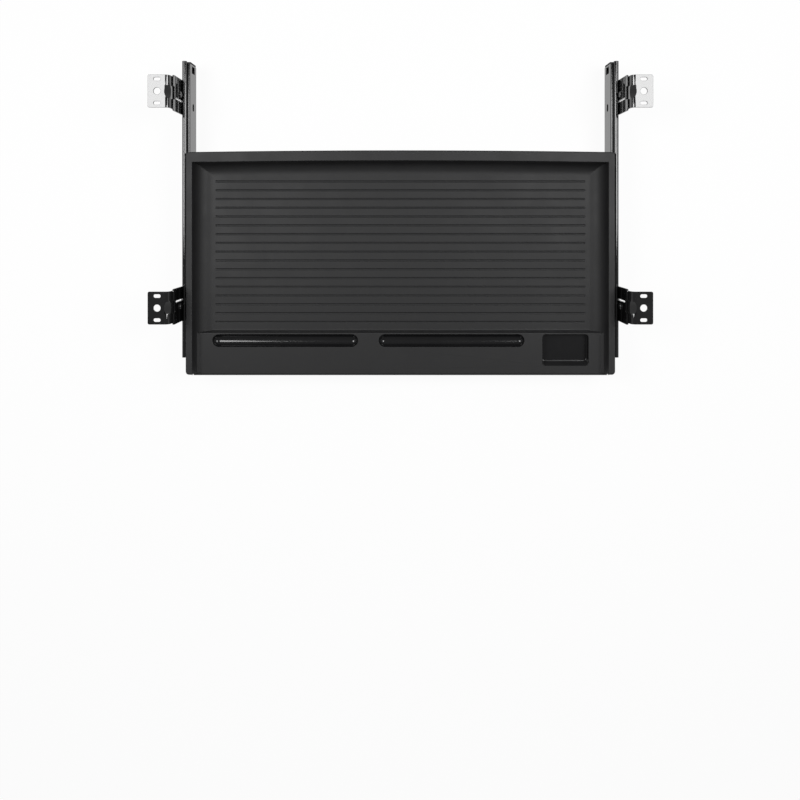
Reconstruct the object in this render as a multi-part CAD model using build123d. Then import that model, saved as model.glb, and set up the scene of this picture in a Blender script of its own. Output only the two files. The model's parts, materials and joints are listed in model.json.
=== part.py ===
from build123d import *
import os

# Pull-out keyboard tray that hangs under a desk. Millimetres, +Z up.
# The origin is the middle of the four round desk holes, on the desk's underside.
# +X is to the user's right and +Y is towards the rear of the desk.

# Desk hangers
flange_hole_reach = 12.5
hanger_thickness = 1.5
hanger_width = 37.0
hanger_edge_margin = 10.6
hanger_drop = 56.0
hanger_bend_radius = 4.0
hanger_corner_radius = 2.0
desk_hole_radius = 4.0
desk_slot_length = 8.0
desk_slot_width = 4.0
desk_slot_offset = 13.5
dart_radius = 17.0
dart_reach = 6.0
dart_sides = 24

# Height setting
height_travel_up = 9.0
height_travel_down = 9.0
clamp_drop = 36.0
clamp_offset = 2.0
clamp_slot_clearance = 0.15
slot_crop_share = 0.29
spare_slot_width = 2.0
spare_slot_offset = 5.0
spare_slot_top_drop = 19.0
spare_slot_length = 31.0

# Carriers, riveted to the slides
carrier_thickness = 1.5
carrier_width = 41.0
carrier_top_drop = 10.0
carrier_bottom_margin = 1.0
carrier_corner_cut = 2.5
carrier_notch_width = 15.0
carrier_notch_depth = 5.0
carrier_notch_cut = 1.5
rivet_radius = 1.6
rivet_head_radius = 3.0
rivet_head_height = 1.1
rivet_spacing = 24.0
rivet_rise = 6.0

# Clamp screw, washer and nut
screw_radius = 2.0
screw_head_radius = 4.0
screw_head_height = 2.2
screw_tail = 1.0
washer_radius = 4.5
washer_thickness = 0.8
nut_flat_width = 7.0
nut_thickness = 3.2

# Slides
slide_length = 350.0
slide_height = 35.0
slide_thickness = 9.0
slide_top_drop = 41.0
slide_rear_reach = 42.7
slide_front_reach = 63.3
outer_sheet = 1.1
inner_sheet = 1.0
inner_corner_radius = 1.2
inner_race_angle = 40.0
inner_tip_length = 0.5
inner_rear_gap = 2.2
ball_radius = 1.75
race_clearance = 0.05

# Ball cages
cage_sheet = 0.5
cage_gap = 0.3
cage_length = 80.0
cage_lip = 2.5
balls_per_row = 6
ball_pitch = 13.0
ball_window_clearance = 0.1
ball_sides = 6
ball_facet_tilt = 22.5
cage_slot_share = 0.45

# Slide stops
window_length = 8.4
window_height = 12.0
window_rear_margin = 1.8
stop_tab_height = 10.0
slot_length = 9.0
slot_height = 6.0
slot_forward = 50.7
front_stop_length = 2.0
front_stop_margin = 1.2
front_stop_height = 8.0
bumper_thickness = 2.0
bumper_foot_length = 6.0
bumper_foot_depth = 3.0
bumper_side_clearance = 0.5
bumper_stud_radius = 2.0

# Travel of the tray
tray_travel = 250.0

# Tray
tray_body_width = 498.0
tray_lip = 3.0
tray_front_reach = 19.4
tray_depth = 261.4
tray_front_proud = 3.6
tray_rear_bow = 2.1
tray_corner_radius = 4.0
rim_drop = 36.0
rim_thickness = 3.0
side_rim_width = 7.6
rear_rim_width = 11.6
rim_edge_cut = 0.8
wall = 3.0
wall_draft = 5.0
floor_depth = 22.0
ledge_depth = 14.0
ledge_run = 47.7
skirt_below_slide_centre = 14.5
nose_radius = 6.0
apron_corner_cut = 3.0
inner_corner_fillet = 4.0
wall_cove_width = 11.0
riser_cove_width = 3.0
cove_knee_share = 0.29
trench_cove_radius = 6.0
ledge_edge_fillet = 1.5

# Grooves in the bed
groove_pitch = 10.56
groove_width = 1.6
groove_depth = 0.6
groove_side_margin = 22.4
groove_rear_margin = 21.5
groove_ledge_gap = 11.4

# Pen troughs and the square pocket
trough_width = 15.0
trough_depth = 7.4
trough_ledge_gap = 2.2
trough_side_margin = 20.45
trough_gap = 24.7
trough_pocket_gap = 21.45
pocket_length = 55.0
pocket_width = 36.0
pocket_depth = 9.5
pocket_side_margin = 20.2
pocket_corner_radius = 4.0
pocket_ramp = 6.0
trough_wall = 2.2
trough_upper_share = 0.55
trough_upper_taper = 12.0
trough_lower_taper = 50.0

# Ribs and screw bosses under the bed
rib_thickness = 1.8
rib_depth = 6.0
ribs_along = 7
ribs_across = 3
boss_width = 8.0
boss_length = 9.0
boss_below_screw = 4.5
tray_screw_radius = 1.7
tray_screw_head_radius = 3.2
tray_screw_head_height = 1.9
tray_screw_length = 10.0
tray_screw_drop = 8.0
tray_screw_margin = 22.0
tray_screws_per_side = 3

# Small fasteners have few sides
fastener_sides = 8
crown_taper = 55.0

# Fits
pin_clearance = 0.05
free_clearance = 0.15
overrun = 1.0

# Sides of the part
RIGHT = 1
LEFT = -1
REAR = 1
FRONT = -1

# Stations worked out from the sizes above
inner_face_x = tray_body_width / 2
back_x = inner_face_x + slide_thickness
carrier_x = back_x + carrier_thickness
hanger_x = carrier_x + hanger_thickness
hole_x = hanger_x + flange_hole_reach
hanger_y = (slide_length - slide_rear_reach - slide_front_reach) / 2
slide_rear_y = hanger_y + slide_rear_reach
slide_front_y = slide_rear_y - slide_length
slide_z = -slide_top_drop - slide_height / 2
slide_bottom_z = slide_z - slide_height / 2
race_radius = ball_radius + race_clearance
outer_race_mid = race_radius + outer_sheet / 2
inner_race_mid = race_radius + inner_sheet / 2
ball_rise = slide_height / 2 - outer_sheet - race_radius
ball_x = back_x - outer_sheet / 2 - outer_race_mid
clamp_z = -clamp_drop
rivet_z = slide_bottom_z + rivet_rise
inner_rear_y = slide_rear_y - inner_rear_gap
window_rear_y = inner_rear_y - window_rear_margin
window_front_y = window_rear_y - window_length
cage_front_stop_y = slide_front_y + front_stop_margin + front_stop_length
cage_front_y = cage_front_stop_y + front_stop_margin + tray_travel / 2
cage_mid_y = cage_front_y + cage_length / 2
tray_front_y = slide_front_y - tray_front_reach
tray_rear_y = tray_front_y + tray_depth
apron_front_y = tray_front_y - tray_front_proud
ledge_rear_y = apron_front_y + ledge_run + tray_front_proud
rim_z = -rim_drop
lip_z = rim_z - rim_thickness
bed_z = rim_z - floor_depth
bed_under_z = bed_z - wall
ledge_z = rim_z - ledge_depth
ledge_under_z = ledge_z - wall
skirt_z = slide_z - skirt_below_slide_centre
tray_outer_x = inner_face_x + tray_lip
rim_inner_x = tray_outer_x - side_rim_width
rim_inner_y = tray_rear_y - rear_rim_width
tray_screw_z = slide_z - tray_screw_drop
pocket_x = rim_inner_x - pocket_side_margin - pocket_length / 2
trough_room = pocket_x - pocket_length / 2 - trough_pocket_gap + rim_inner_x - trough_side_margin
trough_length = (trough_room - trough_gap) / 2
left_trough_x = -rim_inner_x + trough_side_margin + trough_length / 2
right_trough_x = left_trough_x + trough_length + trough_gap


def place(shape, side, end=REAR):
    """Turn a piece made for the right rear into its mirror image elsewhere."""
    if side == LEFT:
        shape = mirror(shape, about=Plane.YZ)
    if end == FRONT:
        shape = mirror(shape, about=Plane.XZ)
    return shape


def block(x0, x1, y0, y1, z0, z1):
    """Box between two corners."""
    box = Box(abs(x1 - x0), abs(y1 - y0), abs(z1 - z0))
    return Pos((x0 + x1) / 2, (y0 + y1) / 2, (z0 + z1) / 2) * box


def rod(radius, x0, x1, y, z):
    """Bar along X for a small fastener or its hole."""
    face = Plane(origin=(x0, y, z), x_dir=(0, 1, 0), z_dir=(1, 0, 0))
    return extrude(face * RegularPolygon(radius, fastener_sides), x1 - x0)


def upright_slot(width, length, x0, x1, y, z):
    """Cutter through X for a slot that is long in Z, with cropped corners."""
    cutter = block(x0, x1, y - width / 2, y + width / 2, z - length / 2, z + length / 2)
    return chamfer(cutter.edges().filter_by(Axis.X), width * slot_crop_share)


def strip(path, thickness, y_rear, length):
    """Sheet-metal section of even thickness along a centre line, drawn out towards the front."""
    section = trace(path, line_width=thickness)
    return extrude(Plane.XZ.offset(-y_rear) * section, length)


def hanger_angle():
    """Bent angle: the web lies on the carrier and the flange meets the desk."""
    mid_x = carrier_x + hanger_thickness / 2
    outer_x = hole_x + hanger_edge_margin
    mid_z = -hanger_thickness / 2
    bend = hanger_bend_radius + hanger_thickness / 2
    path = FilletPolyline((mid_x, -hanger_drop), (mid_x, mid_z), (outer_x, mid_z), radius=bend)
    angle = strip(path, hanger_thickness, hanger_y + hanger_width / 2, hanger_width)
    corners = angle.edges().filter_by(Axis.Z).group_by(Axis.X)[-1]
    angle = fillet(corners, hanger_corner_radius)
    return chamfer(angle.edges().filter_by(Axis.X).group_by(Axis.Z)[0], hanger_corner_radius)


def dart(radius):
    """Bar laid at 45 degrees across the bend, its underside joining web and flange."""
    shift = dart_radius / 2**0.5
    middle = (carrier_x + dart_reach / 2 - shift, hanger_y, shift - dart_reach / 2)
    return Pos(*middle) * Rot(Y=45) * extrude(
        RegularPolygon(radius, dart_sides), 2 * dart_reach, both=True)


def dart_shell():
    """Sheet of the dart, inside the corner between the web and the flange."""
    size = 3 * dart_reach
    corner = block(carrier_x, carrier_x + size, hanger_y - size, hanger_y + size, -size, 0)
    return dart(dart_radius + hanger_thickness) & corner


def hanger():
    """One desk hanger with its pressed dart, desk holes and height slot."""
    body = hanger_angle() + dart_shell() - dart(dart_radius)
    mid_z = -hanger_thickness / 2
    depth = hanger_thickness + 2 * overrun
    body -= Pos(hole_x, hanger_y, mid_z) * Cylinder(desk_hole_radius, depth)
    for step in (-1, 1):
        y = hanger_y + step * desk_slot_offset
        slot = Pos(hole_x, y, mid_z - depth / 2) * SlotOverall(desk_slot_length, desk_slot_width)
        body -= extrude(slot, depth)
    travel = height_travel_up + height_travel_down
    width = 2 * (screw_radius + clamp_slot_clearance)
    z = clamp_z + (height_travel_up - height_travel_down) / 2
    x0 = carrier_x - overrun
    x1 = hanger_x + overrun
    body -= upright_slot(width, travel + width, x0, x1, hanger_y + clamp_offset, z)
    return body - spare_slot(x0, x1)


def spare_slot(x0, x1):
    """Narrow empty slot beside the clamp screw, through both plates."""
    y = hanger_y - spare_slot_offset
    half = spare_slot_width / 2
    return block(x0, x1, y - half, y + half, -spare_slot_top_drop - spare_slot_length,
                 -spare_slot_top_drop)


def rivet_places():
    """Y of the two rivets of one carrier."""
    return (hanger_y - rivet_spacing / 2, hanger_y + rivet_spacing / 2)


def carrier():
    """Plate between a hanger and a slide, with a notch in its top edge."""
    bottom_z = slide_bottom_z + carrier_bottom_margin
    half = carrier_width / 2
    plate = block(back_x, carrier_x, hanger_y - half, hanger_y + half, bottom_z, -carrier_top_drop)
    corners = plate.edges().filter_by(Axis.X).group_by(Axis.Z)
    plate = chamfer(corners[0] + corners[-1], carrier_corner_cut)
    notch_z = -carrier_top_drop - carrier_notch_depth
    notch_half = carrier_notch_width / 2
    notch = block(back_x - overrun, carrier_x + overrun, hanger_y - notch_half,
                  hanger_y + notch_half, notch_z, overrun)
    plate -= chamfer(notch.edges().filter_by(Axis.X).group_by(Axis.Z)[0], carrier_notch_cut)
    hole = screw_radius + free_clearance
    plate -= rod(hole, back_x - overrun, carrier_x + overrun, hanger_y + clamp_offset, clamp_z)
    plate -= spare_slot(back_x - overrun, carrier_x + overrun)
    for y in rivet_places():
        plate -= rod(rivet_radius + pin_clearance, back_x - overrun, carrier_x + overrun, y, rivet_z)
    return plate


def button(radius, height):
    """Low head standing on the XY plane, its sloped crown towards +Z."""
    rise = height / 2
    foot = extrude(RegularPolygon(radius, fastener_sides), height - rise)
    crown = extrude(Pos(0, 0, height - rise) * RegularPolygon(radius, fastener_sides), rise,
                    taper=crown_taper)
    return foot + crown


def rivet(y):
    """Rivet from the slide's web through the carrier, with its head outside."""
    body = rod(rivet_radius, back_x - outer_sheet, carrier_x, y, rivet_z)
    return body + Pos(carrier_x, y, rivet_z) * Rot(Y=90) * button(rivet_head_radius, rivet_head_height)


def clamp_screw():
    """Domed screw from the inner face of the carrier out through the hanger."""
    y = hanger_y + clamp_offset
    end_x = hanger_x + washer_thickness + nut_thickness + screw_tail
    body = rod(screw_radius, back_x, end_x, y, clamp_z)
    return body + Pos(back_x, y, clamp_z) * Rot(Y=-90) * button(screw_head_radius, screw_head_height)


def clamp_washer():
    """Plain washer on the hanger's outer face."""
    y = hanger_y + clamp_offset
    disc = rod(washer_radius, hanger_x, hanger_x + washer_thickness, y, clamp_z)
    return disc - rod(screw_radius + free_clearance, hanger_x - overrun,
                      hanger_x + washer_thickness + overrun, y, clamp_z)


def clamp_nut():
    """Hexagon nut outside the washer."""
    x0 = hanger_x + washer_thickness
    y = hanger_y + clamp_offset
    face = Plane(origin=(x0, y, clamp_z), x_dir=(0, 1, 0), z_dir=(1, 0, 0))
    body = extrude(face * RegularPolygon(nut_flat_width / 2, 6, major_radius=False), nut_thickness)
    return body - rod(screw_radius + pin_clearance, x0 - overrun, x0 + nut_thickness + overrun, y, clamp_z)


def outer_path():
    """Centre line of the outer member: a web between two round raceways."""
    web_x = back_x - outer_sheet / 2
    low = (ball_x, slide_z - ball_rise)
    high = (ball_x, slide_z + ball_rise)
    return Curve() + [
        CenterArc(low, outer_race_mid, 180, 180),
        Line((web_x, low[1]), (web_x, high[1])),
        CenterArc(high, outer_race_mid, 0, 180),
    ]


def outer_slide():
    """Outer member with its rivet holes, stud hole and the front stop of the ball cage."""
    body = strip(outer_path(), outer_sheet, slide_rear_y, slide_length)
    x0 = back_x - outer_sheet - overrun
    x1 = back_x + overrun
    for end in (REAR, FRONT):
        for y in rivet_places():
            body -= rod(rivet_radius + pin_clearance, x0, x1, end * y, rivet_z)
    body -= rod(bumper_stud_radius + pin_clearance, x0, x1, bumper_stud_y(), slide_z)
    stop_x = back_x - outer_sheet - cage_gap - cage_sheet
    half = front_stop_height / 2
    stop_y = slide_front_y + front_stop_margin
    return body + block(stop_x, back_x - outer_sheet, stop_y, stop_y + front_stop_length,
                        slide_z - half, slide_z + half)


def inner_path():
    """Centre line of the inner member: a web, two flanges and a groove under each row of balls."""
    web_x = inner_face_x + inner_sheet / 2
    high = Vector(ball_x, slide_z + ball_rise)
    groove = CenterArc(high, inner_race_mid, 180 + inner_race_angle, 90 - inner_race_angle)
    start = groove @ 0
    tip = groove @ 1
    flange = FilletPolyline((web_x, slide_z), (web_x, start.Y), (start.X, start.Y),
                            radius=inner_corner_radius + inner_sheet / 2)
    upper = Curve() + [flange, groove, Line(tip, (tip.X + inner_tip_length, tip.Y))]
    lower = mirror(upper, about=Plane.XZ.offset(-slide_z))
    return upper + lower


def inner_slide():
    """Inner member with its lanced window, stop tab, rear slot and screw holes."""
    length = inner_rear_y - slide_front_y
    body = strip(inner_path(), inner_sheet, inner_rear_y, length)
    x0 = inner_face_x - overrun
    x1 = inner_face_x + inner_sheet + overrun
    half = window_height / 2
    body -= block(x0, x1, window_front_y, window_rear_y, slide_z - half, slide_z + half)
    tab_x = back_x - outer_sheet - cage_gap
    half = stop_tab_height / 2
    body += block(inner_face_x, tab_x, window_front_y - inner_sheet, window_front_y,
                  slide_z - half, slide_z + half)
    slot_y = inner_rear_y - slot_forward
    face = Plane(origin=(x0, slot_y, slide_z), x_dir=(0, 1, 0), z_dir=(1, 0, 0))
    body -= extrude(face * SlotOverall(slot_length, slot_height), x1 - x0)
    for y in tray_screw_places():
        body -= rod(tray_screw_radius + free_clearance, x0, x1, y, tray_screw_z)
    return body


def tray_screw_places():
    """Y of the screws that hold one inner member to the tray."""
    first = tray_rear_y - tray_screw_margin
    last = slide_front_y + tray_screw_margin
    step = (last - first) / (tray_screws_per_side - 1)
    return [first + step * count for count in range(tray_screws_per_side)]


def tray_screw(y):
    """Pan-headed screw from inside the inner member into a boss of the tray."""
    seat_x = inner_face_x + inner_sheet
    body = rod(tray_screw_radius, seat_x - tray_screw_length, seat_x, y, tray_screw_z)
    return body + Pos(seat_x, y, tray_screw_z) * Rot(Y=90) * button(
        tray_screw_head_radius, tray_screw_head_height)


def ball_places():
    """Y of the balls in one row."""
    first = cage_mid_y - ball_pitch * (balls_per_row - 1) / 2
    return [first + ball_pitch * count for count in range(balls_per_row)]


def ball_cage():
    """Channel of thin steel with an open window for each ball."""
    web_x = back_x - outer_sheet - cage_gap
    flange_x = web_x - cage_sheet - cage_lip
    half = ball_rise + cage_sheet / 2
    rear_y = cage_mid_y + cage_length / 2
    front_y = cage_mid_y - cage_length / 2
    body = block(flange_x, web_x, front_y, rear_y, slide_z - half, slide_z + half)
    inside = half - cage_sheet
    body -= block(flange_x - overrun, web_x - cage_sheet, front_y - overrun, rear_y + overrun,
                  slide_z - inside, slide_z + inside)
    window = ball_radius + ball_window_clearance
    for y in ball_places():
        for side in (-1, 1):
            ball_z = slide_z + side * ball_rise
            body -= block(flange_x - overrun, web_x + overrun, y - window, y + window,
                          ball_z - side * window, ball_z + side * window)
    half = cage_slot_share * ball_rise
    body -= block(web_x - cage_sheet - overrun, web_x + overrun, cage_mid_y - cage_length / 4,
                  cage_mid_y + cage_length / 4, slide_z - half, slide_z + half)
    return body


def ball():
    """Steel ball with few flat faces, its corners on the true sphere."""
    corner = Vector(ball_radius, 0, 0).rotate(Axis.Y, -ball_facet_tilt)
    belt = RegularPolygon(corner.X, ball_sides)
    middle = extrude(belt, corner.Z, both=True)
    cap = extrude(Pos(0, 0, corner.Z) * belt, corner.X - corner.Z, taper=2 * ball_facet_tilt)
    return middle + cap + mirror(cap, about=Plane.XY)


def balls():
    """The balls of one slide, above and below the inner member."""
    one = ball()
    return [Pos(ball_x, y, slide_z + side * ball_rise) * one
            for side in (-1, 1) for y in ball_places()]


def bumper_stud_y():
    """Y of the bumper's stud in the outer member."""
    return slide_rear_y - bumper_thickness - bumper_foot_length / 2


def rear_bumper():
    """Soft stop at the slide's rear end: an end plate, a foot and a stud in the web."""
    web_x = back_x - outer_sheet
    half = ball_rise - inner_race_mid - inner_sheet - bumper_side_clearance
    plate_y = slide_rear_y - bumper_thickness
    foot_y = plate_y - bumper_foot_length
    plate = block(inner_face_x, web_x, plate_y, slide_rear_y, slide_z - half, slide_z + half)
    half -= bumper_side_clearance
    foot = block(web_x - bumper_foot_depth, web_x, foot_y, plate_y, slide_z - half, slide_z + half)
    stud = rod(bumper_stud_radius, web_x, back_x, bumper_stud_y(), slide_z)
    return plate + foot + stud


def tray_plan(half_width, rear_y, front_y, bow, radius):
    """Outline from above: a rectangle whose rear edge bows out, with rounded corners."""
    sides = Polyline((-half_width, rear_y), (-half_width, front_y), (half_width, front_y),
                     (half_width, rear_y))
    rear = ThreePointArc((half_width, rear_y), (0, rear_y + bow), (-half_width, rear_y))
    face = make_face(Curve() + [sides, rear])
    return fillet(face.vertices(), radius)


def side_trench():
    """Space above the ledge, open to the front, between the drafted side walls."""
    slope = ledge_depth * draft_ratio()
    low_x = rim_inner_x - slope
    face = make_face(Polyline((-rim_inner_x, rim_z), (-low_x, ledge_z), (low_x, ledge_z),
                              (rim_inner_x, rim_z), close=True))
    face = fillet(face.vertices().group_by(Axis.Y)[0], trench_cove_radius)
    start_y = ledge_rear_y + inner_corner_fillet
    return extrude(Plane.XZ.offset(-start_y) * face, start_y - apron_front_y + overrun)


def draft_ratio():
    """Sideways run of a drafted wall for each unit of depth."""
    return (Vector(1, 0).rotate(Axis.Z, wall_draft)).Y / (Vector(1, 0).rotate(Axis.Z, wall_draft)).X


def cove(path, inward, width):
    """Bar along the foot of a wall that fills it with a cove of two slopes."""
    knee = width * cove_knee_share
    outline = Polyline((width, 0), (knee, knee), (-knee, 2 * width - knee), (-knee, -overrun),
                       (width, -overrun), close=True)
    plane = Plane(origin=path @ 0, x_dir=inward, z_dir=path % 0)
    return sweep(plane * make_face(outline), path=path)


def bed_space():
    """Space over the keyboard bed: drafted walls, each with a cove at its foot."""
    front_y = ledge_rear_y - ledge_depth * draft_ratio()
    face = tray_plan(rim_inner_x, rim_inner_y, front_y, tray_rear_bow, inner_corner_fillet)
    space = extrude(Pos(0, 0, rim_z) * face, -floor_depth, taper=wall_draft)
    foot_x = rim_inner_x - floor_depth * draft_ratio()
    foot_y = rim_inner_y - floor_depth * draft_ratio()
    riser_y = ledge_rear_y + (floor_depth - ledge_depth) * draft_ratio()
    right = Line((foot_x, ledge_rear_y, bed_z), (foot_x, tray_rear_y, bed_z))
    left = Line((-foot_x, tray_rear_y, bed_z), (-foot_x, ledge_rear_y, bed_z))
    riser = Line((-rim_inner_x, riser_y, bed_z), (rim_inner_x, riser_y, bed_z))
    rear = ThreePointArc((rim_inner_x, foot_y, bed_z), (0, foot_y + tray_rear_bow, bed_z),
                         (-rim_inner_x, foot_y, bed_z))
    return space - [cove(right, (-1, 0, 0), wall_cove_width), cove(left, (1, 0, 0), wall_cove_width),
                    cove(rear, (0, -1, 0), wall_cove_width), cove(riser, (0, 1, 0), riser_cove_width)]


def ledge_edge():
    """Cutter that rounds the ledge's rear edge, above the keyboard bed."""
    half = rim_inner_x - ledge_depth * draft_ratio() - inner_corner_fillet
    y = ledge_rear_y - ledge_edge_fillet
    z = ledge_z - ledge_edge_fillet
    corner = block(-half, half, y, ledge_rear_y + overrun, z, ledge_z + overrun)
    return corner - Pos(0, y, z) * Rot(Y=90) * Cylinder(ledge_edge_fillet, 2 * half)


def tray_block():
    """Outer form of the tray, before it is hollowed: rim, skirts and front apron."""
    rim = tray_plan(tray_outer_x, tray_rear_y, tray_front_y, tray_rear_bow, tray_corner_radius)
    body = extrude(Pos(0, 0, lip_z) * rim, rim_thickness)
    body = chamfer(body.edges().group_by(Axis.Z)[-1], rim_edge_cut)
    skirt = tray_plan(inner_face_x, tray_rear_y - tray_lip, tray_front_y, tray_rear_bow,
                      tray_corner_radius)
    body += extrude(Pos(0, 0, skirt_z) * skirt, lip_z - skirt_z)
    half = rim_inner_x - ledge_depth * draft_ratio()
    nose = block(-half, half, apron_front_y, ledge_rear_y, skirt_z, ledge_z)
    nose = fillet(nose.edges().group_by(Axis.Z)[-1].group_by(Axis.Y)[0], nose_radius)
    nose = chamfer(nose.edges().filter_by(Axis.Z).group_by(Axis.Y)[0], apron_corner_cut)
    return body, nose


def underside():
    """Hollow under the bed and under the ledge, and the hollow inside the rear rim."""
    half = inner_face_x - wall
    rear_y = rim_inner_y - floor_depth * draft_ratio()
    apron_y = apron_front_y + wall
    under_bed = block(-half, half, apron_y, rear_y, skirt_z - overrun, bed_under_z)
    riser_y = ledge_rear_y - wall
    under_ledge = block(-half + side_rim_width, half - side_rim_width, apron_y, riser_y,
                        bed_under_z, ledge_under_z)
    hollow_front = rim_inner_y + wall
    hollow_rear = tray_rear_y - tray_lip - wall
    under_rim = block(-rim_inner_x, rim_inner_x, hollow_front, hollow_rear, skirt_z - overrun, lip_z)
    return under_bed, under_ledge, under_rim


def trough_y():
    """Middle of the pen troughs."""
    return ledge_rear_y - trough_ledge_gap - trough_width / 2


def trough(x):
    """Pen trough whose walls lean in twice towards a narrow floor."""
    mouth = Pos(x, trough_y(), ledge_z) * SlotOverall(trough_length, trough_width)
    upper = extrude(mouth, -trough_depth * trough_upper_share, taper=trough_upper_taper)
    waist = upper.faces().sort_by(Axis.Z)[0]
    lower = extrude(waist, trough_depth * (1 - trough_upper_share), dir=(0, 0, -1),
                    taper=trough_lower_taper)
    return upper + lower


def trough_box(x):
    """Plain wall block under the ledge, in which a trough lies."""
    half = trough_length / 2 + trough_wall
    side = trough_width / 2 + trough_wall
    return block(x - half, x + half, trough_y() - side, trough_y() + side,
                 ledge_z - trough_depth - trough_wall, ledge_z - wall / 2)


def pocket(grow):
    """Square pocket with a ramped front wall, or the outside of its wall when grown."""
    half = pocket_length / 2 + grow
    rear_y = ledge_rear_y - trough_ledge_gap + grow
    front_y = ledge_rear_y - trough_ledge_gap - pocket_width - grow
    low_z = ledge_z - pocket_depth - grow
    top_z = ledge_z - wall / 2 if grow else ledge_z
    side = Polyline((rear_y, top_z), (front_y, top_z), (front_y + pocket_ramp, low_z),
                    (rear_y, low_z), close=True)
    plane = Plane(origin=(pocket_x - half, 0, 0), x_dir=(0, 1, 0), z_dir=(1, 0, 0))
    body = extrude(plane * make_face(side), 2 * half)
    if grow:
        return body
    corners = body.edges().filter_by(lambda edge: abs(edge.tangent_at(0).X) < abs(edge.tangent_at(0).Z))
    return fillet(corners, pocket_corner_radius)


def ribs():
    """Crossed ribs under the bed and under the ledge."""
    half = inner_face_x - wall / 2
    rear_y = tray_rear_y - tray_lip - wall / 2
    front_y = apron_front_y + wall / 2
    low_z = bed_under_z - rib_depth
    bars = []
    for count in range(1, ribs_along + 1):
        x = -half + 2 * half * count / (ribs_along + 1)
        bars.append(block(x - rib_thickness / 2, x + rib_thickness / 2, front_y, rear_y,
                          low_z, bed_under_z + wall / 2))
    for count in range(1, ribs_across + 1):
        y = rear_y + (front_y - rear_y) * count / (ribs_across + 1)
        bars.append(block(-half, half, y - rib_thickness / 2, y + rib_thickness / 2,
                          low_z, bed_under_z + wall / 2))
    return bars


def bosses():
    """Bosses behind the side skirts, for the slide screws."""
    made = []
    for side in (LEFT, RIGHT):
        for y in tray_screw_places():
            made.append(place(block(inner_face_x - wall - boss_length, inner_face_x - wall / 2,
                                    y - boss_width / 2, y + boss_width / 2,
                                    tray_screw_z - boss_below_screw, bed_under_z + wall / 2), side))
    return made


def grooves():
    """Shallow grooves across the keyboard bed, as many as its depth takes."""
    half = rim_inner_x - groove_side_margin
    first_y = ledge_rear_y + groove_ledge_gap
    room = rim_inner_y - groove_rear_margin - first_y
    cuts = []
    for count in range(1 + int(room / groove_pitch)):
        y = first_y + count * groove_pitch
        cuts.append(block(-half, half, y - groove_width / 2, y + groove_width / 2,
                          bed_z - groove_depth, bed_z + overrun))
    return cuts


def tray():
    """Moulded tray: bed, ledge, troughs, pocket, rim, skirts, ribs and bosses."""
    body, nose = tray_block()
    body -= [bed_space(), side_trench()]
    body += nose
    body -= list(underside()) + [ledge_edge()]
    body += ribs() + bosses()
    places = (left_trough_x, right_trough_x)
    body += [trough_box(x) for x in places] + [pocket(trough_wall)]
    body -= [trough(x) for x in places] + [pocket(0)]
    body -= grooves()
    holes = []
    for side in (LEFT, RIGHT):
        for y in tray_screw_places():
            end_x = inner_face_x + inner_sheet - tray_screw_length - pin_clearance
            holes.append(place(rod(tray_screw_radius + pin_clearance, end_x,
                                   inner_face_x + overrun, y, tray_screw_z), side))
    return body - holes


def save(name, pieces):
    """Write one node, as one solid or as a group of separate solids."""
    solids = []
    for piece in pieces:
        solids += piece.solids()
    export_step(Compound(children=solids) if len(solids) > 1 else solids[0], f"parts/{name}.step")


def main():
    os.makedirs("parts", exist_ok=True)
    ends = (("rear", REAR), ("front", FRONT))
    sides = (("left", LEFT), ("right", RIGHT))
    one_hanger = hanger()
    one_carrier = carrier()
    for end_name, end in ends:
        for side_name, side in sides:
            save(f"{end_name}_{side_name}_hanger", [place(one_hanger, side, end)])
            save(f"{end_name}_{side_name}_carrier", [place(one_carrier, side, end)])
    corners = [(side, end) for side in (LEFT, RIGHT) for end in (REAR, FRONT)]
    save("carrier_rivets", [place(rivet(y), *corner) for corner in corners for y in rivet_places()])
    save("clamp_screws", [place(clamp_screw(), *corner) for corner in corners])
    save("clamp_washers", [place(clamp_washer(), *corner) for corner in corners])
    save("clamp_nuts", [place(clamp_nut(), *corner) for corner in corners])
    outer = outer_slide()
    inner = inner_slide()
    cage = ball_cage()
    for side_name, side in sides:
        save(f"{side_name}_outer_slide", [place(outer, side)])
        save(f"{side_name}_inner_slide", [place(inner, side)])
        save(f"{side_name}_ball_cage", [place(cage, side)])
        save(f"{side_name}_balls", [place(one_ball, side) for one_ball in balls()])
        save(f"{side_name}_rear_bumper", [place(rear_bumper(), side)])
    save("tray_screws", [place(tray_screw(y), side) for _, side in sides for y in tray_screw_places()])
    save("tray", [tray()])


main()
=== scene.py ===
import json
import logging
import math
from dataclasses import dataclass
from enum import Enum
from typing import Callable, Iterable, Sequence

import bmesh
import bpy
from bmesh.types import BMEdge, BMVert
from mathutils import Matrix, Vector


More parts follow.
